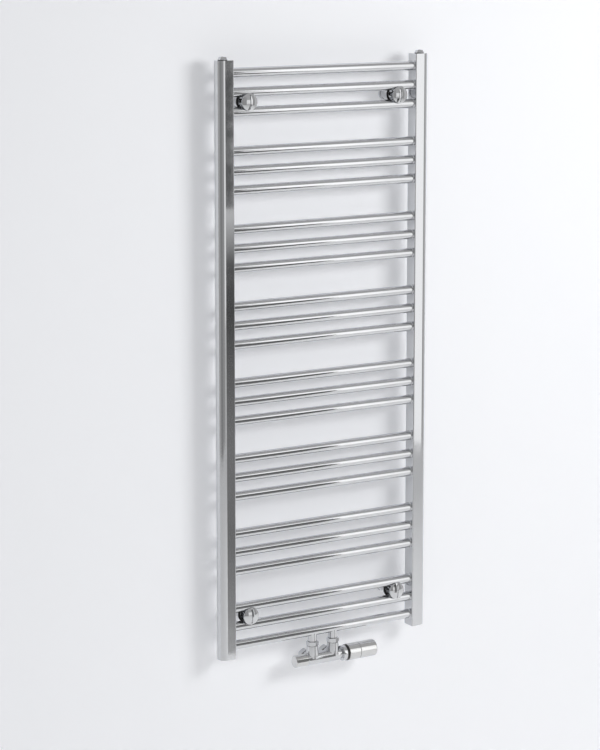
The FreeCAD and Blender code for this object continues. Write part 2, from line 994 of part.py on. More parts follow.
def lockshield_spindle():
    """The spindle turned by a hexagon key, with its collar and threaded tail."""
    spindle = turned(
        [
            (spindle_tail_end, 0),
            (spindle_tail_end, spindle_tail_radius),
            (spindle_collar_inner, spindle_tail_radius),
            (spindle_collar_inner, spindle_collar_radius),
            (spindle_collar_outer, spindle_collar_radius),
            (spindle_collar_outer, spindle_radius),
            (spindle_outer_end, spindle_radius),
            (spindle_outer_end, 0),
        ],
        on_valve(0),
        TO_LEFT,
    )
    socket = hexagon_bar(
        on_valve(-spindle_outer_end + spindle_socket_depth),
        TO_LEFT,
        spindle_socket_depth + 1,
        2 * spindle_socket_radius,
    )
    return spindle.cut(socket)


def regulating_plug():
    """The plug that the spindle's thread moves against the left seat."""
    face = regulator_face
    nose = face - regulator_nose_length
    bore = spindle_tail_radius + running_gap
    bore_end = face + regulator_bore_floor
    return turned(
        [
            (nose, 0),
            (nose, regulator_nose_radius - regulator_nose_taper),
            (face, regulator_nose_radius),
            (face, regulator_radius),
            (face + regulator_disc, regulator_radius),
            (face + regulator_disc, regulator_hub_radius),
            (regulator_end, regulator_hub_radius),
            (regulator_end, bore),
            (bore_end, bore),
            (bore_end, 0),
        ],
        on_valve(0),
        TO_LEFT,
    )


def lockshield_cap():
    """The cap screwed over the gland, which hides the spindle."""
    start = -body_left + cap_face_gap
    floor = cap_outer_end - cap_wall
    cap = turned(
        [
            (start, gland_neck_radius + thread_gap),
            (start, cap_radius),
            (cap_outer_end, cap_radius),
            (cap_outer_end, 0),
            (floor, 0),
            (floor, gland_neck_radius + thread_gap),
        ],
        on_valve(0),
        TO_LEFT,
    )
    rim = edges_at(cap, lambda point: abs(point.x + cap_outer_end) < 0.01)
    return cap.makeFillet(cap_end_round, rim)


# ---------------------------------------------------------------------------
# All pieces, one file each
# ---------------------------------------------------------------------------

def all_pieces():
    """Every node of the radiator by name."""
    top_plate_z = collector_height / 2 - end_plate_thickness
    bottom_plate_z = -collector_height / 2
    upright = right_collector()
    pieces = {
        "left_collector": mirrored(upright),
        "right_collector": upright,
        "top_end_plates": end_plates(top_plate_z, True),
        "bottom_end_plates": end_plates(bottom_plate_z, False),
    }
    for number, level in enumerate(tube_levels, start=1):
        pieces[f"cross_tube_{number:02d}"] = cross_tube(level)
    pieces["flow_partition"] = flow_partition()
    pieces["connection_sockets"] = Part.makeCompound([connection_socket(x) for x in port_xs])
    pieces["vent_plug"] = vent_plug()
    pieces["vent_screw"] = vent_screw()
    pieces["blank_plug"] = plug_blank(plug_x)
    pieces["plug_seals"] = Part.makeCompound([plug_seal(x) for x in (-plug_x, plug_x)])
    pieces["clamp_knobs"] = at_brackets(clamp_knob)
    pieces["rear_saddles"] = at_brackets(rear_saddle)
    pieces["saddle_pads"] = at_brackets(saddle_pad)
    pieces["wall_sleeves"] = at_brackets(wall_sleeve)
    pieces["sleeve_grub_screws"] = at_brackets(sleeve_grub)
    pieces["radiator_nipples"] = Part.makeCompound([radiator_nipple(x) for x in port_xs])
    pieces["union_nuts"] = Part.makeCompound([union_nut(x) for x in port_xs])
    pieces["union_seals"] = Part.makeCompound([union_seal(x) for x in port_xs])
    pieces["valve_body"] = valve_body()
    pieces["pipe_olives"] = Part.makeCompound([olive(x) for x in port_xs])
    pieces["pipe_nuts"] = Part.makeCompound([pipe_nut(x) for x in port_xs])
    pieces["insert_bonnet"] = insert_bonnet()
    pieces["gland_nut"] = gland_nut()
    pieces["valve_stem"] = valve_stem()
    pieces["valve_disc"] = valve_disc()
    pieces["stem_spring"] = stem_spring()
    pieces["head_collar"] = head_collar()
    pieces["head_ring"] = head_ring()
    pieces["head_base"] = head_base()
    pieces["handwheel"] = handwheel()
    pieces["sensor_capsule"] = sensor_capsule()
    pieces["sensor_piston"] = sensor_piston()
    pieces["lockshield_gland"] = lockshield_gland()
    pieces["lockshield_spindle"] = lockshield_spindle()
    pieces["regulating_plug"] = regulating_plug()
    pieces["lockshield_cap"] = lockshield_cap()
    return pieces


os.makedirs("parts", exist_ok=True)
for node_name, node_shape in all_pieces().items():
    node_shape.exportStep(f"parts/{node_name}.step")
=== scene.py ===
import json
import logging
import math
from contextlib import contextmanager
from dataclasses import dataclass
from enum import Enum
from typing import Callable, Iterable, Iterator, Sequence

import bpy
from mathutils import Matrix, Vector


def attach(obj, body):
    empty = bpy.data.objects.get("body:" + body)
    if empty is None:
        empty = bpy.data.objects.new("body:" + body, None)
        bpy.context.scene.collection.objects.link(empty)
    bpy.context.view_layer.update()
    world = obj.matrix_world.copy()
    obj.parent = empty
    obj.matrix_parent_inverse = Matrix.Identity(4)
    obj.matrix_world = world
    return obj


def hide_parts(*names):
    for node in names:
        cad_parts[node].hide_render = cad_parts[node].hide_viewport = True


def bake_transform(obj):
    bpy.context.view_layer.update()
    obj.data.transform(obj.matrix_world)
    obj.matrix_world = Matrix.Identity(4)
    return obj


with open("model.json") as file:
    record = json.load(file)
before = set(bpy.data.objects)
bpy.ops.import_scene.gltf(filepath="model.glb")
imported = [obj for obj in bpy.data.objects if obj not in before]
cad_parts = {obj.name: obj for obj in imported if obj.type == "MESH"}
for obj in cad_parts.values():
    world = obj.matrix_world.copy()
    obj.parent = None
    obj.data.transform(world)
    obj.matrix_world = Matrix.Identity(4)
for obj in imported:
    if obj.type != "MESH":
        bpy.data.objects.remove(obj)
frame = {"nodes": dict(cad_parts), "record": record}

log = logging.getLogger("radiator")
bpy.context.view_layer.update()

MM = 0.001
SIDES = 96                       # round the valve, knobs and sleeves
MERGE = 1e-6                     # metres; nearer points become one
WAVES_PER_SCALE = 20             # bands that a wave texture draws in a unit at scale 1
X, Y, Z = Vector((1, 0, 0)), Vector((0, 1, 0)), Vector((0, 0, 1))
Piece = bpy.types.Object
Socket = bpy.types.NodeSocket
Point = tuple[float, float]
Profile = Sequence[Point]        # (distance along the line, radius)
Test = Callable[[Vector], bool]

MOUNTS = {mount["name"]: mount for mount in frame["record"]["mounts"]}
JOINTS = {joint["name"]: joint for joint in frame["record"]["behaviour"]["joints"]}


def in_mm(place: Sequence[float]) -> list[float]:
    """A place of the record, which is in metres, in millimetres."""
    return [round(value / MM, 3) for value in place]


_, AXIS_Y, VALVE_Z = in_mm(JOINTS["handwheel_turn"]["pos_m"])   # the tubes share its AXIS_Y
VALVE = Vector((0, AXIS_Y, VALVE_Z))
PORTS = [in_mm(MOUNTS[name]["pos_m"])[0] for name in ("return_pipe", "flow_pipe")]
VENT_X, _, TOP = in_mm(JOINTS["vent_screw_turn"]["pos_m"])      # on the left upright's end
FIXINGS = MOUNTS["wall_fixings"]["dims"]
PIPE_RADIUS = MOUNTS["flow_pipe"]["dims"]["r_mm"]
BRACKETS = [(side * FIXINGS["spacing_x_mm"] / 2, end * FIXINGS["spacing_y_mm"] / 2)
            for end in (1, -1) for side in (-1, 1)]


# --------------------------------------------------------------------------
# Bench tools
# --------------------------------------------------------------------------

def deselect() -> None:
    """Clears the selection and leaves edit mode."""
    if bpy.context.object and bpy.context.object.mode != "OBJECT":
        bpy.ops.object.mode_set(mode="OBJECT")
    bpy.ops.object.select_all(action="DESELECT")


def take(piece: Piece) -> None:
    """Makes one piece the only selected and active one.

    Args:
        piece: the object to work on.
    """
    deselect()
    piece.select_set(True)
    bpy.context.view_layer.objects.active = piece


def made(name: str) -> Piece:
    """Names the object that an operator has just made.

    Args:
        name: the name of the object and its mesh.
    Returns:
        The object.
    """
    piece = bpy.context.object
    piece.name = piece.data.name = name
    return piece


def apply(piece: Piece, kind: str, **settings) -> Piece:
    """Adds a modifier to a piece and applies it.

    Args:
        piece: the piece.
        kind: the modifier's type.
        settings: its properties.
    Returns:
        The piece.
    """
    take(piece)
    modifier = piece.modifiers.new(kind.lower(), kind)
    for name, value in settings.items():
        setattr(modifier, name, value)
    bpy.ops.object.modifier_apply(modifier=modifier.name)
    return piece


@contextmanager
def editing(piece: Piece) -> Iterator[None]:
    """Selects all of a piece's mesh in edit mode, and leaves that mode afterwards.

    Args:
        piece: the piece.
    """
    take(piece)
    bpy.ops.object.mode_set(mode="EDIT")
    bpy.ops.mesh.select_all(action="SELECT")
    yield
    bpy.ops.object.mode_set(mode="OBJECT")


def settle(piece: Piece) -> Piece:
    """Moves a piece's place into its mesh, so that its object stands at the origin.

    Args:
        piece: the object whose place is applied.
    Returns:
        The same object.
    """
    take(piece)
    bpy.ops.object.transform_apply(location=True, rotation=True, scale=True)
    return piece


def close_shell(piece: Piece) -> None:
    """Merges doubles, closes open ends and turns the faces outwards.

    Args:
        piece: the object whose mesh is closed.
    """
    with editing(piece):
        bpy.ops.mesh.remove_doubles(threshold=MERGE)
        bpy.ops.mesh.fill_holes(sides=0)
        bpy.ops.mesh.select_all(action="SELECT")
        bpy.ops.mesh.normals_make_consistent(inside=False)


def turn(name: str, foot: Vector, along: Vector, profile: Profile,
         sides: int = SIDES) -> Piece:
    """Turns a profile about a line, ring by ring, with the extrude and resize tools.

    Args:
        name: the piece's name.
        foot: a point of the line, in millimetres.
        along: the line's direction.
        profile: (distance along the line, radius) in millimetres, from a ring with a radius.
            It ends on the line, on a flat end, or where it began.
        sides: faces round the line.
    Returns:
        The closed piece.
    """
    deselect()
    place, radius = profile[0]
    bpy.ops.mesh.primitive_circle_add(
        vertices=sides, radius=radius * MM, fill_type="NOTHING",
        location=(foot + along * place) * MM, rotation=Z.rotation_difference(along).to_euler())
    piece = made(name)
    bpy.ops.object.mode_set(mode="EDIT")
    bpy.ops.mesh.select_mode(type="VERT")
    bpy.ops.mesh.select_all(action="SELECT")
    for next_place, next_radius in profile[1:]:
        step = along * (next_place - place) * MM
        bpy.ops.mesh.extrude_region_move(TRANSFORM_OT_translate={"value": step})
        if next_radius != radius:
            share = next_radius / radius
            bpy.ops.transform.resize(value=(share, share, share),
                                     center_override=(foot + along * next_place) * MM)
        place, radius = next_place, next_radius
    settle(piece)
    close_shell(piece)
    return piece


def prism(name: str, base: Vector, along: Vector, length: float,
          flats: float) -> Piece:
    """A hexagon bar.

    Args:
        name: the piece's name.
        base: the middle of its first end, in millimetres.
        along: its direction.
        length: its length.
        flats: its size across flats.
    Returns:
        The bar.
    """
    deselect()
    bpy.ops.mesh.primitive_cylinder_add(
        vertices=6, radius=flats / math.sqrt(3) * MM, depth=length * MM,
        location=(base + along * length / 2) * MM,
        rotation=Z.rotation_difference(along).to_euler())
    return settle(made(name))


def slab(name: str, low: Vector, high: Vector) -> Piece:
    """A block between two corners.

    Args:
        name: the piece's name.
        low: its lowest corner, in millimetres.
        high: its highest corner.
    Returns:
        The block.
    """
    deselect()
    bpy.ops.mesh.primitive_cube_add(size=1.0, location=(low + high) / 2 * MM,
                                    scale=(high - low) * MM)
    return settle(made(name))


def combine(piece: Piece, others: Iterable[Piece],
            how: str = "DIFFERENCE") -> Piece:
    """Cuts, adds or intersects a piece with others, which are used up.

    Args:
        piece: the piece that stays.
        others: the tools.
        how: the Boolean modifier's operation.
    Returns:
        The piece.
    """
    for other in others:
        apply(piece, "BOOLEAN", operation=how, solver="EXACT", object=other)
        mesh = other.data
        bpy.data.objects.remove(other)
        bpy.data.meshes.remove(mesh)
    return piece


def round_edges(piece: Piece, width: float, segments: int = 3,
                angle: float = 30.0) -> Piece:
    """Rounds the sharp edges with an applied Bevel modifier.

    Args:
        piece: the piece.
        width: the width of the round, in millimetres.
        segments: faces across the round.
        angle: edges sharper than this are rounded, in degrees.
    Returns:
        The piece.
    """
    return apply(piece, "BEVEL", width=width * MM, segments=segments, limit_method="ANGLE",
                 angle_limit=math.radians(angle))


def smooth(piece: Piece, angle: float = 32.0) -> Piece:
    """Shades a piece smooth, but for edges sharper than the angle, and keeps its flats flat.

    Args:
        piece: the piece.
        angle: the limit, in degrees.
    Returns:
        The piece.
    """
    take(piece)
    bpy.ops.object.shade_smooth_by_angle(angle=math.radians(angle))
    return apply(piece, "WEIGHTED_NORMAL", keep_sharp=True)


def ring(start: float, end: float, bore: float, radius: float) -> list[Point]:
    """The closed outline of a plain ring between two places along its line."""
    return [(start, bore), (start, radius), (end, radius), (end, bore), (start, bore)]


def lathe(name: str, foot: Vector, along: Vector, profile: Profile, edge: float,
          segments: int = 3, angle: float = 40.0, sides: int = SIDES) -> Piece:
    """Turns a piece, rounds its edges and shades it.

    Args:
        name, foot, along, profile, sides: as turn() takes them.
        edge: the round of its sharp edges, in millimetres, or 0 for none.
        segments: faces across the round.
        angle: edges sharper than this are rounded, in degrees.
    Returns:
        The finished piece.
    """
    piece = turn(name, foot, along, profile, sides)
    if edge:
        round_edges(piece, edge, segments, angle)
    return smooth(piece)


def pick(piece: Piece, test: Test) -> None:
    """Selects the faces whose centre passes a test, and enters edit mode on them.

    Args:
        piece: the piece.
        test: told a face's centre in millimetres, says whether it is picked.
    """
    take(piece)
    bpy.ops.object.mode_set(mode="EDIT")
    bpy.ops.mesh.select_mode(type="FACE")
    bpy.ops.mesh.select_all(action="DESELECT")
    bpy.ops.object.mode_set(mode="OBJECT")
    for face in piece.data.polygons:
        face.select = test(face.center / MM)
    bpy.ops.object.mode_set(mode="EDIT")


def copy_to(piece: Piece, name: str, shift: Vector) -> Piece:
    """Copies a piece with its own mesh.

    Args:
        piece: the piece that is copied.
        name: the copy's name.
        shift: from the piece to its copy, in millimetres.
    Returns:
        The copy.
    """
    take(piece)
    bpy.ops.object.duplicate(linked=False)
    bpy.ops.transform.translate(value=shift * MM)
    return settle(made(name))


# --------------------------------------------------------------------------
# Finishes
# --------------------------------------------------------------------------

def linear(code: str) -> tuple[float, float, float, float]:
    """Turns an sRGB hex colour to linear.

    Args:
        code: six hex digits.
    Returns:
        Red, green, blue and alpha.
    """
    parts = []
    for start in (0, 2, 4):
        share = int(code[start:start + 2], 16) / 255
        parts.append(share / 12.92 if share <= 0.04045 else ((share + 0.055) / 1.055) ** 2.4)
    return (*parts, 1.0)


def per_metre(size_mm: float) -> float:
    """The scale that makes a pattern repeat about every size_mm on Object coordinates."""
    return 1.0 / (size_mm * MM)


class Nodes:
    """A node tree while it is put together."""

    def __init__(self, owner: bpy.types.Material | bpy.types.World) -> None:
        """Empties the node tree of a material or a world.

        Args:
            owner: what the tree belongs to.
        """
        owner.use_nodes = True
        self.tree = owner.node_tree
        self.tree.nodes.clear()

    def add(self, kind: str, sockets: dict | None = None, **settings) -> bpy.types.Node:
        """Adds a node with its settings, values and links.

        Args:
            kind: the node's type.
            sockets: for each input, its value or the output socket it is linked from.
            settings: the node's own properties.
        Returns:
            The node.
        """
        node = self.tree.nodes.new(kind)
        for name, value in settings.items():
            setattr(node, name, value)
        for name, value in (sockets or {}).items():
            if isinstance(value, Socket):
                self.tree.links.new(value, node.inputs[name])
            else:
                node.inputs[name].default_value = value
        return node


class Paint(Nodes):
    """A new material and its nodes."""

    def __init__(self, name: str) -> None:
        """Makes the material under its name."""
        self.material = bpy.data.materials.new(name)
        super().__init__(self.material)

    def relief(self, height: Socket, strength: float,
               depth_mm: float) -> Socket:
        """Adds a bump and returns the normal that it gives.

        Args:
            height: the pattern, from 0 to 1.
            strength: its share of the depth.
            depth_mm: its depth.
        Returns:
            The normal's socket.
        """
        return self.add("ShaderNodeBump", {
            "Height": height, "Strength": strength, "Distance": depth_mm * MM}).outputs["Normal"]

    def noise(self, size_mm: float, detail: float, **more: float) -> Socket:
        """Adds a noise on Object coordinates.

        Args:
            size_mm: about the size of its clouds.
            detail: how much finer structure it has.
            more: its other inputs.
        Returns:
            The noise's value, from 0 to 1.
        """
        place = self.add("ShaderNodeTexCoord").outputs["Object"]
        inputs = {"Vector": place, "Scale": per_metre(size_mm), "Detail": detail, **more}
        return self.add("ShaderNodeTexNoise", inputs).outputs["Fac"]

    def between(self, share: Socket, first: str, second: str) -> Socket:
        """Adds a mix of two colours.

        Args:
            share: how much of the second colour shows.
            first: a hex colour.
            second: another.
        Returns:
            The mixed colour.
        """
        factor, colour_a, colour_b, result = 0, 6, 7, 2
        mix = self.add("ShaderNodeMix", {
            factor: share, colour_a: linear(first), colour_b: linear(second)}, data_type="RGBA")
        return mix.outputs[result]

    def principled(self, **inputs) -> Socket:
        """Adds the shader, its inputs named with _ for a space, and returns its output."""
        named = {name.replace("_", " "): value for name, value in inputs.items()}
        return self.add("ShaderNodeBsdfPrincipled", named).outputs["BSDF"]


class Finish:
    """A finish that makes its material once and dresses pieces with it."""

    title = ""

    def shade(self, paint: Paint) -> Socket:
        """Adds the finish's nodes to a material and returns the shader's output."""
        raise NotImplementedError

    @property
    def material(self) -> bpy.types.Material:
        """The finish's material, made when it is first asked for."""
        found = bpy.data.materials.get(self.title)
        if found:
            return found
        paint = Paint(self.title)
        surface = self.shade(paint)
        paint.add("ShaderNodeOutputMaterial", {"Surface": surface})
        return paint.material

    def dress(self, piece: Piece) -> None:
        """Puts the finish on every slot of a piece.

        Args:
            piece: a new piece or a CAD node.
        """
        if not piece.material_slots:
            piece.data.materials.append(self.material)
        for entry in piece.material_slots:
            entry.material = self.material


@dataclass(frozen=True)
class ChromePlate(Finish):
    """Bright nickel and chrome plate, polished. It mirrors the room, a little dark and cool."""

    title: str = "polished_chrome_plate"
    colour: str = "D3D4D6"
    gloss: float = 0.045         # roughness where it is wiped clean
    haze: float = 0.085          # roughness under a film of water marks
    haze_mm: float = 28.0        # size of a cloud of water marks
    wave_mm: float = 16.0        # polishing waves
    wave_depth_mm: float = 0.004

    def shade(self, paint: Paint) -> Socket:
        """Adds clouds of haze in the gloss and shallow polishing waves.

        Args:
            paint: the material.
        Returns:
            The shader's output.
        """
        cloud = paint.noise(self.haze_mm, 4.0, Roughness=0.6)
        gloss = paint.add("ShaderNodeMapRange", {
            "Value": cloud, "From Min": 0.35, "From Max": 0.7,
            "To Min": self.gloss, "To Max": self.haze}).outputs["Result"]
        wave = paint.noise(self.wave_mm, 1.0)
        return paint.principled(
            Base_Color=linear(self.colour), Metallic=1.0, Roughness=gloss,
            Normal=paint.relief(wave, 1.0, self.wave_depth_mm))


@dataclass(frozen=True)
class Moulded(Finish):
    """A moulded black material, with the fine grain of its mould."""

    title: str = "black_moulded_plastic"
    colour: str = "141415"
    worn: str = "232324"         # rubbed grain, a shade lighter
    roughness: float = 0.38
    grain_mm: float = 0.6
    grain_depth_mm: float = 0.03

    def shade(self, paint: Paint) -> Socket:
        """Adds the grain, lighter on its tops, and its relief.

        Args:
            paint: the material.
        Returns:
            The shader's output.
        """
        grain = paint.noise(self.grain_mm, 3.0)
        return paint.principled(
            Base_Color=paint.between(grain, self.colour, self.worn), Roughness=self.roughness,
            Normal=paint.relief(grain, 0.5, self.grain_depth_mm))


@dataclass(frozen=True)
class TurnedMetal(Finish):
    """Bare metal from the lathe: satin, with fine tool rings along its axis."""

    title: str = "turned_brass"
    colour: str = "C8A664"
    dull: str = "A98A50"         # handled, slightly tarnished
    roughness: float = 0.3
    ring_mm: float = 0.7         # feed of the tool, drawn coarse enough to show
    ring_depth_mm: float = 0.02
    tarnish_mm: float = 6.0

    def shade(self, paint: Paint) -> Socket:
        """Adds the tarnish and the rings of the tool.

        Args:
            paint: the material.
        Returns:
            The shader's output.
        """
        tarnish = paint.noise(self.tarnish_mm, 3.0)
        place = paint.add("ShaderNodeTexCoord").outputs["Object"]
        rings = paint.add("ShaderNodeTexWave", {
            "Vector": place, "Scale": per_metre(self.ring_mm) / WAVES_PER_SCALE,
            "Distortion": 0.4}, bands_direction="X").outputs["Fac"]
        return paint.principled(
            Base_Color=paint.between(tarnish, self.colour, self.dull), Metallic=1.0,
            Roughness=self.roughness, Normal=paint.relief(rings, 0.4, self.ring_depth_mm))


class Kind(Enum):
    """The record's material slots, each with its finish."""

    CHROME_STEEL = "chrome_steel"
    CHROME_BRASS = "chrome_brass"
    CHROME_PLASTIC = "chrome_plastic"
    BLACK_PLASTIC = "black_plastic"
    BLACK_RUBBER = "black_rubber"
    STEEL = "steel"
    BRASS = "brass"


FINISHES: dict[Kind, Finish] = {
    # drawn steel tube, buffed and plated: long soft waves
    Kind.CHROME_STEEL: ChromePlate(),
    # turned and forged brass, buffed and plated: tighter form, shorter waves
    Kind.CHROME_BRASS: ChromePlate(
        title="chrome_on_turned_brass", gloss=0.04, haze=0.075, haze_mm=12.0, wave_mm=7.0,
        wave_depth_mm=0.0025),
    # ABS moulding with bright plate: flawless, faintly warmer
    Kind.CHROME_PLASTIC: ChromePlate(
        title="chrome_on_moulded_plastic", colour="D6D6D6", gloss=0.05, haze=0.08,
        haze_mm=18.0, wave_mm=11.0, wave_depth_mm=0.003),
    # spark-eroded polypropylene: low sheen
    Kind.BLACK_PLASTIC: Moulded(),
    # EPDM rubber: dull, with a dusty surface
    Kind.BLACK_RUBBER: Moulded(
        title="black_rubber", colour="101010", worn="1E1E1E", roughness=0.72, grain_mm=0.9),
    # bright mild steel: grey, satin
    Kind.STEEL: TurnedMetal(title="turned_steel", colour="A9AAAB", dull="8C8D8E",
                            roughness=0.34),
    # free-cutting brass from the lathe
    Kind.BRASS: TurnedMetal(),
}


def hand_over(piece: Piece, kind: Kind, node: str, body: str = "radiator") -> None:
    """Dresses a finished piece, hangs it on its body and hides the CAD node that it stands for.

    Args:
        piece: the piece.
        kind: its finish.
        node: the CAD node that it stands for.
        body: the CAD body that it rides on.
    """
    FINISHES[kind].dress(piece)
    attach(piece, body)
    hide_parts(node)
    log.info("%s: %d faces on %s", piece.name, len(piece.data.polygons), body)


def arc(centre: Point, radius: float, start: float, end: float,
        steps: int) -> list[Point]:
    """Points of an arc in a profile.

    Args:
        centre: (distance, radius) of the arc's centre.
        radius: the arc's radius.
        start: its first angle from the line's direction, in degrees.
        end: its last angle.
        steps: segments.
    Returns:
        The points, as (distance, radius).
    """
    points = []
    for step in range(steps + 1):
        angle = math.radians(start + (end - start) * step / steps)
        points.append((centre[0] + radius * math.cos(angle),
                       centre[1] + radius * math.sin(angle)))
    return points


# --------------------------------------------------------------------------
# The radiator's ladder
# --------------------------------------------------------------------------

@dataclass
class Uprights:
    """The two D-section collectors with their end plates."""

    inner: float = 215.0
    outer: float = 250.0
    front: float = -63.0
    back: float = -33.0
    half_height: float = TOP
    wall: float = 1.85
    plate: float = 4.0
    plate_gap: float = 0.2       # under an end plate
    plate_room: float = 0.05     # round an end plate
    round_steps: int = 28
    edge: float = 2.0

    def section(self, name: str, low: float, high: float, inset: float) -> Piece:
        """A bar of the D section, its round side away from the middle.

        Args:
            name: the bar's name.
            low: its lower end, in millimetres.
            high: its upper end.
            inset: how far its sides stand inside the collector's.
        Returns:
            The bar of the right-hand side.
        """
        bar = slab(name, Vector((self.inner + inset, self.front + inset, low)),
                   Vector((self.outer - inset, self.back - inset, high)))
        depth = self.back - self.front - 2 * inset
        self.bevel_upright(bar, self.outer - inset, depth / 2, self.round_steps)
        if self.edge > inset:
            self.bevel_upright(bar, self.inner + inset, self.edge - inset / 2, 6)
        return bar

    @staticmethod
    def bevel_upright(bar: Piece, x: float, width: float, steps: int) -> None:
        """Rounds the upright edges of a bar that stand at one x.

        Args:
            bar: the bar.
            x: where the edges stand, in millimetres.
            width: the radius.
            steps: segments.
        """
        take(bar)
        bpy.ops.object.mode_set(mode="EDIT")
        bpy.ops.mesh.select_mode(type="EDGE")
        bpy.ops.mesh.select_all(action="DESELECT")
        bpy.ops.object.mode_set(mode="OBJECT")
        points = bar.data.vertices
        for edge in bar.data.edges:
            first, second = (points[i].co / MM for i in edge.vertices)
            upright = abs(first.z - second.z) > 1
            edge.select = upright and abs(first.x - x) < 0.01
        bpy.ops.object.mode_set(mode="EDIT")
        bpy.ops.mesh.bevel(offset=width * MM, segments=steps, profile=0.5, clamp_overlap=False)
        bpy.ops.mesh.select_all(action="SELECT")
        bpy.ops.mesh.remove_doubles(threshold=MERGE * 10)
        bpy.ops.object.mode_set(mode="OBJECT")

    def hollow_end(self, bar: Piece, high: bool) -> None:
        """Sinks a pocket for the end plate into one end of a collector.

        Args:
            bar: the collector.
            high: the upper end, or else the lower one.
        """
        end = self.half_height if high else -self.half_height
        pick(bar, lambda centre: abs(centre.z - end) < 0.01)
        bpy.ops.mesh.inset(thickness=self.wall * MM, use_even_offset=True)
        sink = (self.plate + self.plate_gap) * (-1 if high else 1)
        bpy.ops.mesh.extrude_region_move(TRANSFORM_OT_translate={"value": (0, 0, sink * MM)})
        bpy.ops.object.mode_set(mode="OBJECT")

    def mirrored(self, piece: Piece, name: str) -> Piece:
        """A copy of a right-hand piece for the left side.

        Args:
            piece: the right-hand piece.
            name: the copy's name.
        Returns:
            The copy.
        """
        copy = copy_to(piece, name, Vector((0, 0, 0)))
        with editing(copy):
            bpy.ops.transform.mirror(constraint_axis=(True, False, False),
                                     center_override=(0, 0, 0))
            bpy.ops.mesh.normals_make_consistent(inside=False)
        return copy

    def build(self) -> None:
        """Builds both collectors and their four end plates."""
        right = self.section("upright_right", -self.half_height, self.half_height, 0.0)
        self.hollow_end(right, True)
        self.hollow_end(right, False)
        round_edges(right, 0.35, 3, 50)
        smooth(right, 30)
        left = self.mirrored(right, "upright_left")
        smooth(left, 30)
        hand_over(right, Kind.CHROME_STEEL, "right_collector")
        hand_over(left, Kind.CHROME_STEEL, "left_collector")
        for level, word in ((1, "top"), (-1, "bottom")):
            ends = sorted((level * (self.half_height - self.plate), level * self.half_height))
            plate = self.section(f"end_plate_{word}_right", *ends,
                                 self.wall + self.plate_room)
            round_edges(plate, 0.25, 2, 50)
            smooth(plate, 30)
            other = self.mirrored(plate, f"end_plate_{word}_left")
            smooth(other, 30)
            for piece in (plate, other):
                hand_over(piece, Kind.CHROME_STEEL, f"{word}_end_plates")


@dataclass
class CrossTubes:
    """The twenty-four cross tubes, each with a brazed fillet at both ends."""

    radius: float = 10.0
    reach: float = 218.8         # into the collectors
    shown: float = 215.0         # where the collectors begin
    fillet: float = 1.1
    fillet_steps: int = 6
    fillet_overlap: float = 0.3  # into a collector's side
    pitch: float = 39.0
    places: int = 31
    in_bank: int = 3

    def levels(self) -> list[float]:
        """Leaves every fourth place of the grid open.

        Returns:
            Heights of the tubes' axes, from the top down.
        """
        top = (self.places - 1) / 2 * self.pitch
        return [top - place * self.pitch for place in range(self.places)
                if (place + 1) % (self.in_bank + 1)]

    def profile(self) -> list[Point]:
        """Draws a tube from end to end.

        Returns:
            Its outline, with the fillets.
        """
        rise = [(self.shown - self.fillet * (1 - math.sin(turn_by)),
                 self.radius + self.fillet * (1 - math.cos(turn_by)))
                for turn_by in (math.radians(90 / self.fillet_steps * step)
                                for step in range(self.fillet_steps + 1))]
        half = [(self.shown - 3 * self.fillet, self.radius)] + rise
        half += [(self.shown + self.fillet_overlap, self.radius + self.fillet),
                 (self.reach, self.radius)]
        return [(-place, radius) for place, radius in reversed(half)] + half

    def build(self) -> None:
        """Turns one tube and copies it to every level."""
        levels = self.levels()
        first = turn("cross_tube_piece_01", Vector((0, AXIS_Y, levels[0])), X, self.profile())
        smooth(first, 40)
        pieces = [first]
        for number, level in enumerate(levels[1:], start=2):
            pieces.append(copy_to(first, f"cross_tube_piece_{number:02d}",
                                  Vector((0, 0, level - levels[0]))))
        for number, piece in enumerate(pieces, start=1):
            hand_over(piece, Kind.CHROME_STEEL, f"cross_tube_{number:02d}")


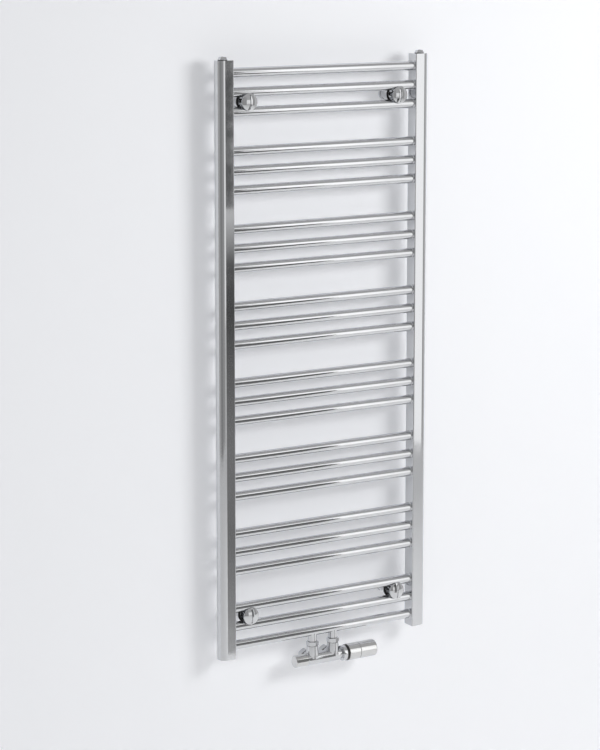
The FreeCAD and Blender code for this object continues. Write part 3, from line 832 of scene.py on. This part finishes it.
@dataclass
class Plugs:
    """The vent plug and the blank plug on the collectors' ends, with their seals."""

    across: float = -VENT_X
    seat: float = TOP + 1.0      # on the seal
    base_radius: float = 10.0
    top_radius: float = 7.5
    height: float = 6.0
    land: float = 0.7            # upright band under the taper
    shank_radius: float = 8.2
    shank: float = 11.0
    key: float = 6.0             # hexagon socket, across flats
    key_floor: float = 2.0       # above the seat
    screw_radius: float = 2.5
    screw_end: float = 9.6       # below the screw's top
    tip_radius: float = 0.75
    tip: float = 0.2
    head_radius: float = 3.5
    head: float = 1.6
    head_room: float = 0.15      # round the head
    head_gap: float = 0.05       # under the head
    drop: float = 0.3            # screw's top, below the plug's
    slot_width: float = 1.0
    slot_depth: float = 0.8
    seal_bore: float = 8.3
    seal_radius: float = 9.6
    seal_height: float = 1.0

    def plug(self, name: str, x: float, recess: bool) -> Piece:
        """One tapered plug.

        Args:
            name: its name.
            x: its place.
            recess: whether its top is bored for the vent screw.
        Returns:
            The plug.
        """
        outline = [(-self.shank, self.shank_radius), (0.0, self.shank_radius),
                   (0.0, self.base_radius), (self.land, self.base_radius),
                   (self.height, self.top_radius)]
        if recess:
            floor = self.height - self.drop - self.head - self.head_gap
            bore = self.head_radius + self.head_room
            outline += [(self.height, bore), (floor, bore)]
        return lathe(name, Vector((x, AXIS_Y, self.seat)), Z, outline, 0.3, angle=25)

    def blank_plug(self) -> Piece:
        """Makes the right plug, with a hexagon socket in its top.

        Returns:
            The plug.
        """
        plug = self.plug("blank_plug_piece", self.across, False)
        foot = Vector((self.across, AXIS_Y, self.seat + self.key_floor))
        return smooth(combine(plug, [prism("socket_cutter", foot, Z, self.height, self.key)]))

    def screw(self) -> Piece:
        """Makes the slotted vent screw in the left plug.

        Returns:
            The screw.
        """
        top = Vector((-self.across, AXIS_Y, self.seat + self.height - self.drop))
        screw = turn("vent_screw_piece", top, Z, [
            (-self.screw_end - self.tip, self.tip_radius), (-self.screw_end, self.screw_radius),
            (-self.head, self.screw_radius), (-self.head, self.head_radius),
            (0.0, self.head_radius)])
        round_edges(screw, 0.2, 2, 40)
        past = 2.0               # the cutter's margin
        reach = Vector((self.head_radius + past, self.slot_width / 2, 0))
        slot = slab("slot_cutter", top - reach - Z * self.slot_depth, top + reach + Z * past)
        return smooth(combine(screw, [slot]))

    def build(self) -> None:
        """Builds plugs, screw and seals."""
        hand_over(self.plug("vent_plug_piece", -self.across, True), Kind.CHROME_BRASS,
                  "vent_plug")
        hand_over(self.blank_plug(), Kind.CHROME_BRASS, "blank_plug")
        hand_over(self.screw(), Kind.CHROME_BRASS, "vent_screw", "vent_screw")
        seal = lathe("plug_seal_left", Vector((-self.across, AXIS_Y, TOP)), Z,
                     ring(0.0, self.seal_height, self.seal_bore, self.seal_radius), 0.2, 2)
        other = copy_to(seal, "plug_seal_right", Vector((2 * self.across, 0, 0)))
        for piece in (seal, other):
            hand_over(piece, Kind.BLACK_RUBBER, "plug_seals")


# --------------------------------------------------------------------------
# Wall brackets
# --------------------------------------------------------------------------

@dataclass
class Brackets:
    """The four brackets: slotted knob, rubber pad, saddle and sleeve.

    A place along a bracket's axis is its distance from the wall.
    """

    knob_radius: float = 17.5
    knob_back: float = 57.81
    rim: float = 2.5
    rim_edge: float = 0.4
    dome: float = 4.5
    dome_steps: int = 26
    stem_end: float = 29.6
    stem_radius: float = 4.0
    stem_chamfer: float = 0.6
    hub_back: float = 51.85
    hub_radius: float = 9.0
    hub_chamfer: float = 0.3
    slot_width: float = 2.2
    slot_length: float = 29.0
    slot_depth: float = 2.0
    saddle_radius: float = 18.0
    saddle_back: float = 32.56
    saddle_front: float = 35.56
    boss_radius: float = 13.8
    boss_front: float = 37.86
    spigot_end: float = 9.5
    spigot_radius: float = 9.0
    spigot_bore: float = 4.6
    thread_back: float = 28.56
    thread_radius: float = 4.05
    pad_back: float = 35.58
    pad_front: float = 38.04
    pad_bore: float = 14.0
    rose_radius: float = 14.5    # flange of the sleeve
    rose_top_radius: float = 13.5
    rose_edge: float = 1.2
    rose_thickness: float = 4.0
    sleeve_radius: float = 12.05
    sleeve_length: float = 26.06
    sleeve_bore: float = 9.06
    sleeve_floor: float = 3.0
    grub_place: float = 20.0
    grub_radius: float = 2.06

    @property
    def foot(self) -> Vector:
        """Where the first bracket's axis meets the wall."""
        return Vector((BRACKETS[0][0], 0, BRACKETS[0][1]))

    def knob(self) -> Piece:
        """Makes a slotted, domed clamp knob with its hub and stem.

        Returns:
            The knob.
        """
        rim_end = self.knob_back + self.rim
        sphere = (self.knob_radius ** 2 + self.dome ** 2) / (2 * self.dome)
        full = math.degrees(math.asin(self.knob_radius / sphere))
        outline = [(self.stem_end, self.stem_radius - self.stem_chamfer),
                   (self.stem_end + self.stem_chamfer, self.stem_radius),
                   (self.hub_back, self.stem_radius),
                   (self.hub_back, self.hub_radius - self.hub_chamfer),
                   (self.hub_back + self.hub_chamfer, self.hub_radius),
                   (self.knob_back, self.hub_radius),
                   (self.knob_back, self.knob_radius - self.rim_edge),
                   (self.knob_back + self.rim_edge, self.knob_radius),
                   (rim_end - 0.35, self.knob_radius), (rim_end - 0.1, self.knob_radius - 0.1)]
        outline += arc((rim_end + self.dome - sphere, 0.0), sphere, full - 0.7, 0.0,
                       self.dome_steps)
        outline[-1] = (rim_end + self.dome, 0.0)
        knob = turn("clamp_knob_piece_1", self.foot, -Y, outline, 128)
        self.cut_slot(knob, rim_end)
        return smooth(knob, 28)

    def cut_slot(self, knob: Piece, rim_end: float) -> None:
        """Sinks the screwdriver slot into a knob's dome.

        Args:
            knob: the knob.
            rim_end: wall to where the dome begins.
        """
        half_width, half_length = self.slot_width / 2, self.slot_length / 2
        for reach in (-X * half_width, X * half_width, -Z * half_length, Z * half_length):
            pick(knob, lambda centre: centre.y < -rim_end)
            bpy.ops.mesh.bisect(plane_co=(self.foot + reach) * MM,
                                plane_no=[abs(part) for part in reach.normalized()])
            bpy.ops.object.mode_set(mode="OBJECT")
        pick(knob, lambda centre: centre.y < -rim_end
             and abs(centre.x - self.foot.x) < half_width
             and abs(centre.z - self.foot.z) < half_length)
        bpy.ops.mesh.extrude_region_move(
            TRANSFORM_OT_translate={"value": (0, self.slot_depth * MM, 0)})
        bpy.ops.object.mode_set(mode="OBJECT")

    def saddle(self) -> Piece:
        """Makes the disc behind the tubes, with its boss and spigot.

        Returns:
            The saddle.
        """
        return lathe("rear_saddle_piece_1", self.foot, -Y, [
            (self.spigot_end, self.spigot_bore), (self.spigot_end, self.spigot_radius),
            (self.saddle_back, self.spigot_radius), (self.saddle_back, self.saddle_radius),
            (self.saddle_front, self.saddle_radius), (self.saddle_front, self.boss_radius),
            (self.boss_front, self.boss_radius), (self.boss_front, self.thread_radius),
            (self.thread_back, self.thread_radius), (self.thread_back, self.spigot_bore),
            (self.spigot_end, self.spigot_bore)], 0.4)

    def sleeve(self) -> Piece:
        """Makes the sleeve on the wall, with its flange and the hole for its grub screw.

        Returns:
            The sleeve.
        """
        hole = FIXINGS["hole_r_mm"]
        sleeve = turn("wall_sleeve_piece_1", self.foot, -Y, [
            (0.0, hole), (0.0, self.rose_radius), (self.rose_edge, self.rose_radius),
            (self.rose_thickness, self.rose_top_radius),
            (self.rose_thickness, self.sleeve_radius), (self.sleeve_length, self.sleeve_radius),
            (self.sleeve_length, self.sleeve_bore), (self.sleeve_floor, self.sleeve_bore),
            (self.sleeve_floor, hole), (0.0, hole)])
        round_edges(sleeve, 0.3, 3, 25)
        drill = turn("grub_drill", self.foot - Y * self.grub_place, -Z,
                     [(8.0, self.grub_radius), (16.0, self.grub_radius)], 32)
        return smooth(combine(sleeve, [drill]))

    def build(self) -> None:
        """Builds one bracket and copies it to the other three places."""
        pad = lathe("saddle_pad_piece_1", self.foot, -Y, ring(
            self.pad_back, self.pad_front, self.pad_bore, self.saddle_radius), 0.5)
        for piece, name, kind, body in (
                (self.knob(), "clamp_knob", Kind.CHROME_BRASS, "radiator"),
                (self.saddle(), "rear_saddle", Kind.CHROME_BRASS, "radiator"),
                (pad, "saddle_pad", Kind.BLACK_RUBBER, "radiator"),
                (self.sleeve(), "wall_sleeve", Kind.CHROME_BRASS, "wall_mounts")):
            copies = [copy_to(piece, f"{name}_piece_{number}", Vector((x, 0, z)) - self.foot)
                      for number, (x, z) in enumerate(BRACKETS[1:], start=2)]
            for each in (piece, *copies):
                hand_over(each, kind, name + "s", body)


# --------------------------------------------------------------------------
# Valve
# --------------------------------------------------------------------------

def chamfered_nut(name: str, base: Vector, along: Vector, length: float, flats: float,
                  bore: float) -> Piece:
    """A hexagon nut whose corners are turned off at both ends.

    Args:
        name: its name.
        base: the middle of its first end, in millimetres.
        along: its direction.
        length: its length.
        flats: its size across flats.
        bore: the radius of its bore.
    Returns:
        The nut.
    """
    corner = flats / math.sqrt(3)
    land = flats / 2 - 0.2       # radius of the flat ends
    slope = (corner - land) * 0.6
    outside = corner + 0.05
    nut = prism(name, base, along, length, flats)
    envelope = turn("envelope", base, along,
                    [(0, bore), (0, land), (slope, outside), (length - slope, outside),
                     (length, land), (length, bore), (0, bore)], 120)
    combine(nut, [envelope], "INTERSECT")
    round_edges(nut, 0.22, 2, 28)
    return smooth(nut, 24)


@dataclass
class HValve:
    """The valve's body with its nuts, sockets and necks."""

    left: float = -39.5
    right: float = 38.5
    radius: float = 13.0
    end_chamfer: float = 0.8
    branch_radius: float = 12.99
    shoulder: float = 28.7       # valve axis to the shoulders of the up branches
    shoulder_radius: float = 12.0
    spigot_radius: float = 9.5
    spigot_top: float = 33.2
    wall_branch: float = 11.0
    wall_branch_end: float = 22.0
    wall_spigot_end: float = 30.0
    pipe_stop: float = 17.0
    seam: float = 0.7            # round where the branches meet the bar
    union_z: float = -615.9
    union_height: float = 9.5
    union_flats: float = 23.0
    union_bore: float = 9.6
    pipe_nut_y: float = -11.0
    pipe_nut_length: float = 14.6
    pipe_nut_flats: float = 24.0
    pipe_nut_bore: float = 7.6
    socket_z: float = -606.0
    socket_height: float = 17.2
    socket_bore: float = 7.3
    neck_start: float = 30.0     # the insert's inner end
    neck_end: float = 50.0
    neck_radius: float = 10.0
    neck_shank: float = 8.2      # radius inside the bar
    neck_mouth: float = 4.0      # depth of its open end
    stem_bore: float = 2.6
    stem_bore_length: float = 3.0
    spring_bore: float = 5.0
    gland_bore: float = 6.25
    lock_start: float = 33.0     # the lockshield gland's inner end
    lock_bore: float = 4.05
    thread_start: float = 41.0
    thread_pitch: float = 1.0
    thread_turns: int = 8
    thread_root: float = 9.45

    def body(self) -> Piece:
        """Makes the bar with two branches up and two back, in one smooth casting.

        Returns:
            The valve's body.
        """
        bar = turn("valve_body_piece", VALVE, X,
                   [(self.left, self.radius - self.end_chamfer),
                    (self.left + self.end_chamfer, self.radius),
                    (self.right - self.end_chamfer, self.radius),
                    (self.right, self.radius - self.end_chamfer)])
        past = 40.0              # the drill's end, in front of the wall
        for x in PORTS:
            foot = Vector((x, AXIS_Y, VALVE_Z))
            up = turn("branch_up", foot, Z, [
                (0.0, self.branch_radius), (self.shoulder / 2, self.branch_radius),
                (self.shoulder, self.shoulder_radius), (self.shoulder, self.spigot_radius),
                (self.spigot_top, self.spigot_radius)])
            back = turn("branch_back", foot, Y, [
                (0.0, self.wall_branch), (self.wall_branch_end, self.wall_branch),
                (self.wall_branch_end, self.spigot_radius),
                (self.wall_spigot_end, self.spigot_radius)])
            combine(bar, [up, back], "UNION")
            drill = turn("pipe_bore", foot, Y,
                         [(self.pipe_stop, PIPE_RADIUS), (past, PIPE_RADIUS)], 64)
            combine(bar, [drill])
        round_edges(bar, self.seam, 3, 38)
        return smooth(bar, 30)

    def fittings(self) -> None:
        """Makes the union nuts, the sockets above them and the nuts on the pipes."""
        for number, x in enumerate(PORTS, start=1):
            union = chamfered_nut(
                f"union_nut_piece_{number}", Vector((x, AXIS_Y, self.union_z)), Z,
                self.union_height, self.union_flats, self.union_bore)
            hand_over(union, Kind.CHROME_BRASS, "union_nuts")
            nut = chamfered_nut(
                f"pipe_nut_piece_{number}", Vector((x, self.pipe_nut_y, VALVE_Z)), -Y,
                self.pipe_nut_length, self.pipe_nut_flats, self.pipe_nut_bore)
            hand_over(nut, Kind.CHROME_BRASS, "pipe_nuts")
            socket = lathe(
                f"connection_socket_piece_{number}", Vector((x, AXIS_Y, self.socket_z)), Z,
                ring(0.0, self.socket_height, self.socket_bore, self.spigot_radius), 0.4)
            hand_over(socket, Kind.CHROME_STEEL, "connection_sockets")

    def necks(self) -> None:
        """Makes the insert's neck on the right and the threaded gland on the left."""
        chamber = self.neck_start + self.stem_bore_length
        mouth = self.neck_end - self.neck_mouth
        neck = lathe("insert_neck_piece", VALVE, X, [
            (self.neck_start, self.stem_bore), (self.neck_start, self.neck_shank),
            (self.right, self.neck_shank), (self.right, self.neck_radius),
            (self.neck_end, self.neck_radius), (self.neck_end, self.gland_bore),
            (mouth, self.gland_bore), (mouth, self.spring_bore), (chamber, self.spring_bore),
            (chamber, self.stem_bore), (self.neck_start, self.stem_bore)], 0.3, 2)
        hand_over(neck, Kind.CHROME_BRASS, "insert_bonnet")
        thread = []
        for number in range(self.thread_turns):
            place = self.thread_start + number * self.thread_pitch
            thread += [(place, self.neck_radius), (place + 0.4, self.thread_root),
                       (place + 0.6, self.thread_root)]
        gland = turn("lockshield_gland_piece", VALVE, -X, [
            (self.lock_start, self.lock_bore), (self.lock_start, self.neck_shank),
            (-self.left, self.neck_shank), (-self.left, self.neck_radius), *thread,
            (self.neck_end - 0.8, self.neck_radius), (self.neck_end, self.neck_radius - 0.6),
            (self.neck_end, self.lock_bore), (self.lock_start, self.lock_bore)])
        smooth(gland, 25)
        hand_over(gland, Kind.BRASS, "lockshield_gland")

    def build(self) -> None:
        """Builds the body, then what is screwed to it."""
        hand_over(self.body(), Kind.CHROME_BRASS, "valve_body")
        self.fittings()
        self.necks()


@dataclass
class ReturnSpring:
    """The coil spring behind the valve's stem, which is squeezed as the stem goes in."""

    start: float = 33.6
    end: float = 42.4
    radius: float = 3.8
    wire: float = 0.5            # radius
    pitch: float = 1.9
    wire_sides: int = 12
    steps_a_turn: int = 28

    def build(self) -> None:
        """Coils a ring of wire with a Screw modifier."""
        ends = [(VALVE + X * place) * MM for place in (self.start, self.end)]
        deselect()
        bpy.ops.mesh.primitive_circle_add(vertices=self.wire_sides, radius=self.wire * MM,
                                          fill_type="NOTHING", location=ends[0])
        spring = made("stem_spring_piece")
        with editing(spring):
            bpy.ops.transform.translate(value=(0, self.radius * MM, 0))
        turns = (self.end - self.start) / self.pitch
        steps = round(self.steps_a_turn * turns)
        apply(spring, "SCREW", axis="X", angle=math.radians(360) * turns,
              screw_offset=(self.end - self.start) * MM, steps=steps, render_steps=steps)
        settle(spring)
        close_shell(spring)
        smooth(spring, 40)
        FINISHES[Kind.STEEL].dress(spring)
        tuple(ends[0])
        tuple(ends[1])
        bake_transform(spring)
        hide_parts("stem_spring")
        log.info("%s: %d faces", spring.name, len(spring.data.polygons))


@dataclass
class ThermostaticHead:
    """The head: collar, black ring, fixed base and turning handwheel.

    A place along the head is its distance from the middle of the valve.
    """

    radius: float = 18.0
    wall: float = 2.4
    collar_start: float = 45.3
    collar_end: float = 54.0
    collar_radius: float = 16.3
    collar_chamfer: float = 1.0
    collar_bore: float = 10.05
    collar_web: float = 50.05    # where its web begins
    hub_bore: float = 7.2
    ring_start: float = 54.05
    ring_end: float = 58.95
    ring_radius: float = 16.8
    base_start: float = 59.0
    base_floor: float = 62.0
    base_end: float = 86.1
    base_bore: float = 3.5
    spigot_start: float = 79.3
    spigot_gap: float = 0.05
    wheel_start: float = 86.5
    wheel_end: float = 127.4
    wheel_bore: float = 13.05
    wheel_flat: float = 6.0      # radius of the last ring on its end
    end_round: float = 3.0
    end_steps: int = 10
    edge: float = 0.6

    def lathe(self, name: str, outline: Profile, edge: float) -> Piece:
        """Turns one piece of the head about the valve's axis and rounds its edges."""
        return lathe(name, VALVE, X, outline, edge, angle=35, sides=128)

    def build(self) -> None:
        """Builds the four pieces of the head."""
        inner = self.radius - self.wall
        shoulder = self.collar_radius - self.collar_chamfer
        collar = self.lathe("head_collar_piece", [
            (self.collar_start, self.collar_bore), (self.collar_start, shoulder),
            (self.collar_start + self.collar_chamfer, self.collar_radius),
            (self.collar_end, self.collar_radius), (self.collar_end, self.hub_bore),
            (self.collar_web, self.hub_bore), (self.collar_web, self.collar_bore),
            (self.collar_start, self.collar_bore)], 0.35)
        black = self.lathe("head_ring_piece", ring(
            self.ring_start, self.ring_end, self.hub_bore, self.ring_radius), 0.4)
        base = self.lathe("head_base_piece", [
            (self.base_start, self.base_bore), (self.base_start, self.radius),
            (self.base_end, self.radius), (self.base_end, inner), (self.base_floor, inner),
            (self.base_floor, self.base_bore), (self.base_start, self.base_bore)], self.edge)
        spigot = inner - self.spigot_gap
        centre = (self.wheel_end - self.end_round, self.radius - self.end_round)
        outline = [(self.spigot_start, self.wheel_bore), (self.spigot_start, spigot),
                   (self.wheel_start, spigot), (self.wheel_start, self.radius - self.edge),
                   (self.wheel_start + self.edge * 0.3, self.radius - self.edge * 0.3),
                   (self.wheel_start + self.edge, self.radius),
                   *arc(centre, self.end_round, 90, 0, self.end_steps),
                   (self.wheel_end, self.wheel_flat)]
        wheel = self.lathe("handwheel_piece", outline, 0.0)
        hand_over(collar, Kind.CHROME_BRASS, "head_collar")
        hand_over(black, Kind.BLACK_PLASTIC, "head_ring")
        hand_over(base, Kind.CHROME_PLASTIC, "head_base")
        hand_over(wheel, Kind.CHROME_PLASTIC, "handwheel", "handwheel")


@dataclass
class LockshieldCap:
    """The plain cap screwed over the lockshield."""

    start: float = 39.9
    end: float = 69.3
    radius: float = 13.0
    bore: float = 10.08
    floor: float = 2.0           # thickness of its closed end
    end_round: float = 2.0
    end_steps: int = 8
    end_flat: float = 5.0        # radius of the last ring on its end
    lead_in: float = 0.3
    edge: float = 0.4

    def build(self) -> None:
        """Turns the cap, open towards the valve."""
        centre = (self.end - self.end_round, self.radius - self.end_round)
        corner = self.edge * 0.3
        outline = [(self.end - self.floor, self.bore), (self.start + self.lead_in, self.bore),
                   (self.start, self.bore + self.lead_in),
                   (self.start, self.radius - self.edge),
                   (self.start + corner, self.radius - corner),
                   (self.start + self.edge, self.radius),
                   *arc(centre, self.end_round, 90, 0, self.end_steps),
                   (self.end, self.end_flat)]
        cap = lathe("lockshield_cap_piece", VALVE, -X, outline, 0.0)
        hand_over(cap, Kind.CHROME_PLASTIC, "lockshield_cap", "lockshield_cap")


# --------------------------------------------------------------------------
# Carried-over CAD nodes
# --------------------------------------------------------------------------

def dress_cad_nodes() -> None:
    """Gives every CAD node the finish of its slot in the record."""
    for row in frame["record"]["subparts"]:
        FINISHES[Kind(row["material_slot"])].dress(frame["nodes"][row["node"]])


# --------------------------------------------------------------------------
# Studio
# --------------------------------------------------------------------------

@dataclass
class Studio:
    """Wall, floor, soft lights, reflection flags and camera."""

    wall_tone: str = "EEEFF2"
    floor_tone: str = "E6E6E6"
    floor_z: float = -1150.0
    wall_lift: float = 0.26      # light of its own, so that it stays pale
    floor_lift: float = 0.4
    wall_gap: float = 0.0003     # behind the sleeves, in metres like the sizes below
    wall_size: float = 8.0
    floor_size: float = 14.0
    card_foot: float = 0.02      # above the floor
    lens: float = 112.79
    sensor: float = 36.0
    shift_y: float = -0.12
    camera_at: tuple[float, float, float] = (-2489.1, -4089.9, 895.5)
    yaw: float = 31.058          # right of +Y
    pitch: float = 8.995         # down
    world_light: float = 0.26
    ceiling_z: float = 2.75
    ceiling_tone: float = 0.48
    key_azimuth: float = 31.0    # degrees right of -Y
    key_height: float = 22.0     # degrees above the middle
    key_distance: float = 2.9
    key_size: Point = (1.3, 0.85)
    key_power: float = 33.5      # watts

    def surface(self, name: str, tone: str, see_through_back: bool,
                lift: float) -> bpy.types.Material:
        """A plain pale surface.

        Args:
            name: the material's name.
            tone: its colour.
            see_through_back: whether its back is clear, so that a wall hides nothing.
            lift: how much light it gives itself.
        Returns:
            The material.
        """
        paint = Paint(name)
        out = paint.principled(
            Base_Color=linear(tone), Roughness=0.9, Specular_IOR_Level=0.1,
            Emission_Color=linear(tone), Emission_Strength=lift,
            Normal=paint.relief(paint.noise(3.0, 2.0), 0.05, 0.05))
        if see_through_back:
            clear = paint.add("ShaderNodeBsdfTransparent").outputs["BSDF"]
            back = paint.add("ShaderNodeNewGeometry").outputs["Backfacing"]
            out = paint.add("ShaderNodeMixShader", {0: back, 1: out, 2: clear}).outputs["Shader"]
        paint.add("ShaderNodeOutputMaterial", {"Surface": out})
        return paint.material

    def backdrop(self) -> None:
        """The wall behind the radiator and the floor far below it."""
        deselect()
        foot = self.floor_z * MM
        bpy.ops.mesh.primitive_plane_add(
            size=self.wall_size, rotation=(math.radians(90), 0, 0),
            location=(0, self.wall_gap, self.wall_size / 2 + foot))
        wall = settle(made("stage_wall"))
        wall.data.materials.append(
            self.surface("matt_wall_paint", self.wall_tone, True, self.wall_lift))
        bpy.ops.mesh.primitive_plane_add(size=self.floor_size, location=(0, 0, foot))
        floor = settle(made("stage_floor"))
        floor.data.materials.append(
            self.surface("pale_studio_floor", self.floor_tone, False, self.floor_lift))

    def glow(self, card: Piece, tones: Sequence[Point]) -> None:
        """Makes a card glow for mirrors alone, in tones that change with height.

        Args:
            card: the card.
            tones: (height in metres, tone), from the bottom up.
        """
        paint = Paint(card.name + "_tone")
        place = paint.add("ShaderNodeNewGeometry").outputs["Position"]
        height = paint.add("ShaderNodeSeparateXYZ", {"Vector": place}).outputs["Z"]
        low, high = tones[0][0], tones[-1][0] + 0.001
        share = paint.add("ShaderNodeMapRange", {
            "Value": height, "From Min": low, "From Max": high})
        ramp = paint.add("ShaderNodeValToRGB", {"Fac": share.outputs["Result"]})
        marks = ramp.color_ramp.elements
        while len(marks) < len(tones):
            marks.new(0.5)
        for mark, (level, tone) in zip(marks, tones):
            mark.position = (level - low) / (high - low)
            mark.color = (tone, tone, tone, 1.0)
        light = paint.add("ShaderNodeEmission", {"Color": ramp.outputs["Color"]})
        paint.add("ShaderNodeOutputMaterial", {"Surface": light.outputs["Emission"]})
        card.data.materials.append(paint.material)
        card.visible_camera = False
        card.visible_diffuse = False
        card.visible_shadow = False
        card.visible_transmission = False

    def flag(self, name: str, radius: float, span: Point,
             tones: Sequence[Point]) -> None:
        """A curved card, upright, that only mirrors see.

        Args:
            name: its name.
            radius: its distance from the middle, in metres.
            span: its sides, in degrees right of -Y.
            tones: (height in metres, tone), from the bottom up.
        """
        deselect()
        low, high = tones[0][0], tones[-1][0]
        bpy.ops.mesh.primitive_cylinder_add(vertices=720, radius=radius, depth=high - low,
                                            end_fill_type="NOTHING",
                                            location=(0, 0, (low + high) / 2))
        card = settle(made(name))

        def outside(centre: Vector) -> bool:
            """Whether a face stands outside the card's span."""
            angle = math.degrees(math.atan2(centre.x, -centre.y))
            return not span[0] <= angle <= span[1]

        pick(card, outside)
        bpy.ops.mesh.delete(type="FACE")
        bpy.ops.object.mode_set(mode="OBJECT")
        self.glow(card, tones)

    def ceiling(self) -> None:
        """A level card above the room, for the tops of the tubes."""
        deselect()
        bpy.ops.mesh.primitive_plane_add(size=self.floor_size,
                                         location=(0, -self.floor_size / 2, self.ceiling_z))
        self.glow(settle(made("flag_ceiling")), ((self.ceiling_z, self.ceiling_tone),
                                                 (self.ceiling_z + 0.1, self.ceiling_tone)))

    def key_light(self) -> None:
        """A soft box aimed at the middle of the radiator, left out of the chrome."""
        around, up = math.radians(self.key_azimuth), math.radians(self.key_height)
        spot = Vector((math.sin(around) * math.cos(up), -math.cos(around) * math.cos(up),
                       math.sin(up))) * self.key_distance
        light = bpy.data.lights.new("key_softbox", "AREA")
        light.shape = "RECTANGLE"
        light.size, light.size_y = self.key_size
        light.energy = self.key_power
        lamp = bpy.data.objects.new("key_softbox", light)
        bpy.context.scene.collection.objects.link(lamp)
        lamp.location = spot
        lamp.rotation_euler = (-spot).to_track_quat("-Z", "Y").to_euler()
        lamp.visible_camera = False
        lamp.visible_glossy = False

    def sky(self) -> None:
        """White for the camera and in mirrors, a plain soft light for the rest."""
        world = bpy.data.worlds.new("studio")
        bpy.context.scene.world = world
        nodes = Nodes(world)
        ray = nodes.add("ShaderNodeLightPath").outputs
        seen = ray["Is Camera Ray"]
        for kind in ("Is Glossy Ray", "Is Transmission Ray"):
            seen = nodes.add("ShaderNodeMath", {0: seen, 1: ray[kind]},
                             operation="MAXIMUM").outputs["Value"]
        plain, white = (nodes.add("ShaderNodeBackground", {
            "Color": (1, 1, 1, 1), "Strength": strength}).outputs["Background"]
            for strength in (self.world_light, 1.0))
        mix = nodes.add("ShaderNodeMixShader", {0: seen, 1: plain, 2: white})
        nodes.add("ShaderNodeOutputWorld", {"Surface": mix.outputs["Shader"]})

    def camera(self) -> None:
        """The camera, left of the middle and a little above it, looking slightly down."""
        data = bpy.data.cameras.new("camera")
        data.lens = self.lens
        data.sensor_width = self.sensor
        data.shift_y = self.shift_y
        data.dof.use_dof = False
        data.clip_end = 50.0
        camera = bpy.data.objects.new("camera", data)
        bpy.context.scene.collection.objects.link(camera)
        camera.location = Vector(self.camera_at) * MM
        camera.rotation_euler = (math.radians(90 - self.pitch), 0, math.radians(-self.yaw))
        bpy.context.scene.camera = camera

    def build(self) -> None:
        """Sets the stage, the lights and the camera."""
        self.backdrop()
        foot, top = self.floor_z * MM + self.card_foot, self.ceiling_z
        self.flag("flag_far_left", 4.3, (-92, -63), ((foot, 0.45), (top, 0.5)))
        self.flag("flag_left", 4.2, (-63, -30), ((foot, 0.27), (top, 0.3)))
        self.flag("flag_near_left", 4.3, (-30, -1), ((foot, 0.36), (top, 0.38)))
        self.flag("flag_slit", 2.2, (22, 24.5), (
            (foot, 0.6), (-0.95, 0.26), (-0.6, 0.25), (0.03, 0.12), (0.42, 0.12), (0.9, 0.24),
            (1.5, 0.25)))
        self.flag("flag_low", 1.15, (15.5, 31.1), (
            (-0.98, 0.46), (-0.85, 0.3), (-0.68, 0.2), (-0.45, 0.22), (-0.25, 0.15),
            (-0.1, 0.08), (0.03, 0.12), (0.17, 0.7)))
        self.flag("panel_bright", 4.2, (28.5, 34), ((foot, 1.4), (2.6, 1.6)))
        self.flag("panel_side", 4.2, (34, 39.5), ((foot, 1.2), (2.6, 1.35)))
        self.flag("flag_right", 4.3, (41.5, 60), ((foot, 0.38), (top, 0.42)))
        self.flag("flag_far_right", 4.2, (60, 92), ((foot, 0.6), (top, 0.65)))
        self.ceiling()
        self.key_light()
        self.sky()
        self.camera()
        bpy.context.scene.view_settings.view_transform = "Standard"


def main() -> None:
    """Builds the radiator's pieces in order, then the studio."""
    logging.basicConfig(level=logging.INFO, format="%(name)s: %(message)s")
    dress_cad_nodes()
    for part in (Uprights(), CrossTubes(), Plugs(), Brackets(), HValve(), ReturnSpring(),
                 ThermostaticHead(), LockshieldCap()):
        part.build()
        log.info("%s done", type(part).__name__)
    Studio().build()
    deselect()


if __name__ == "__main__":
    main()
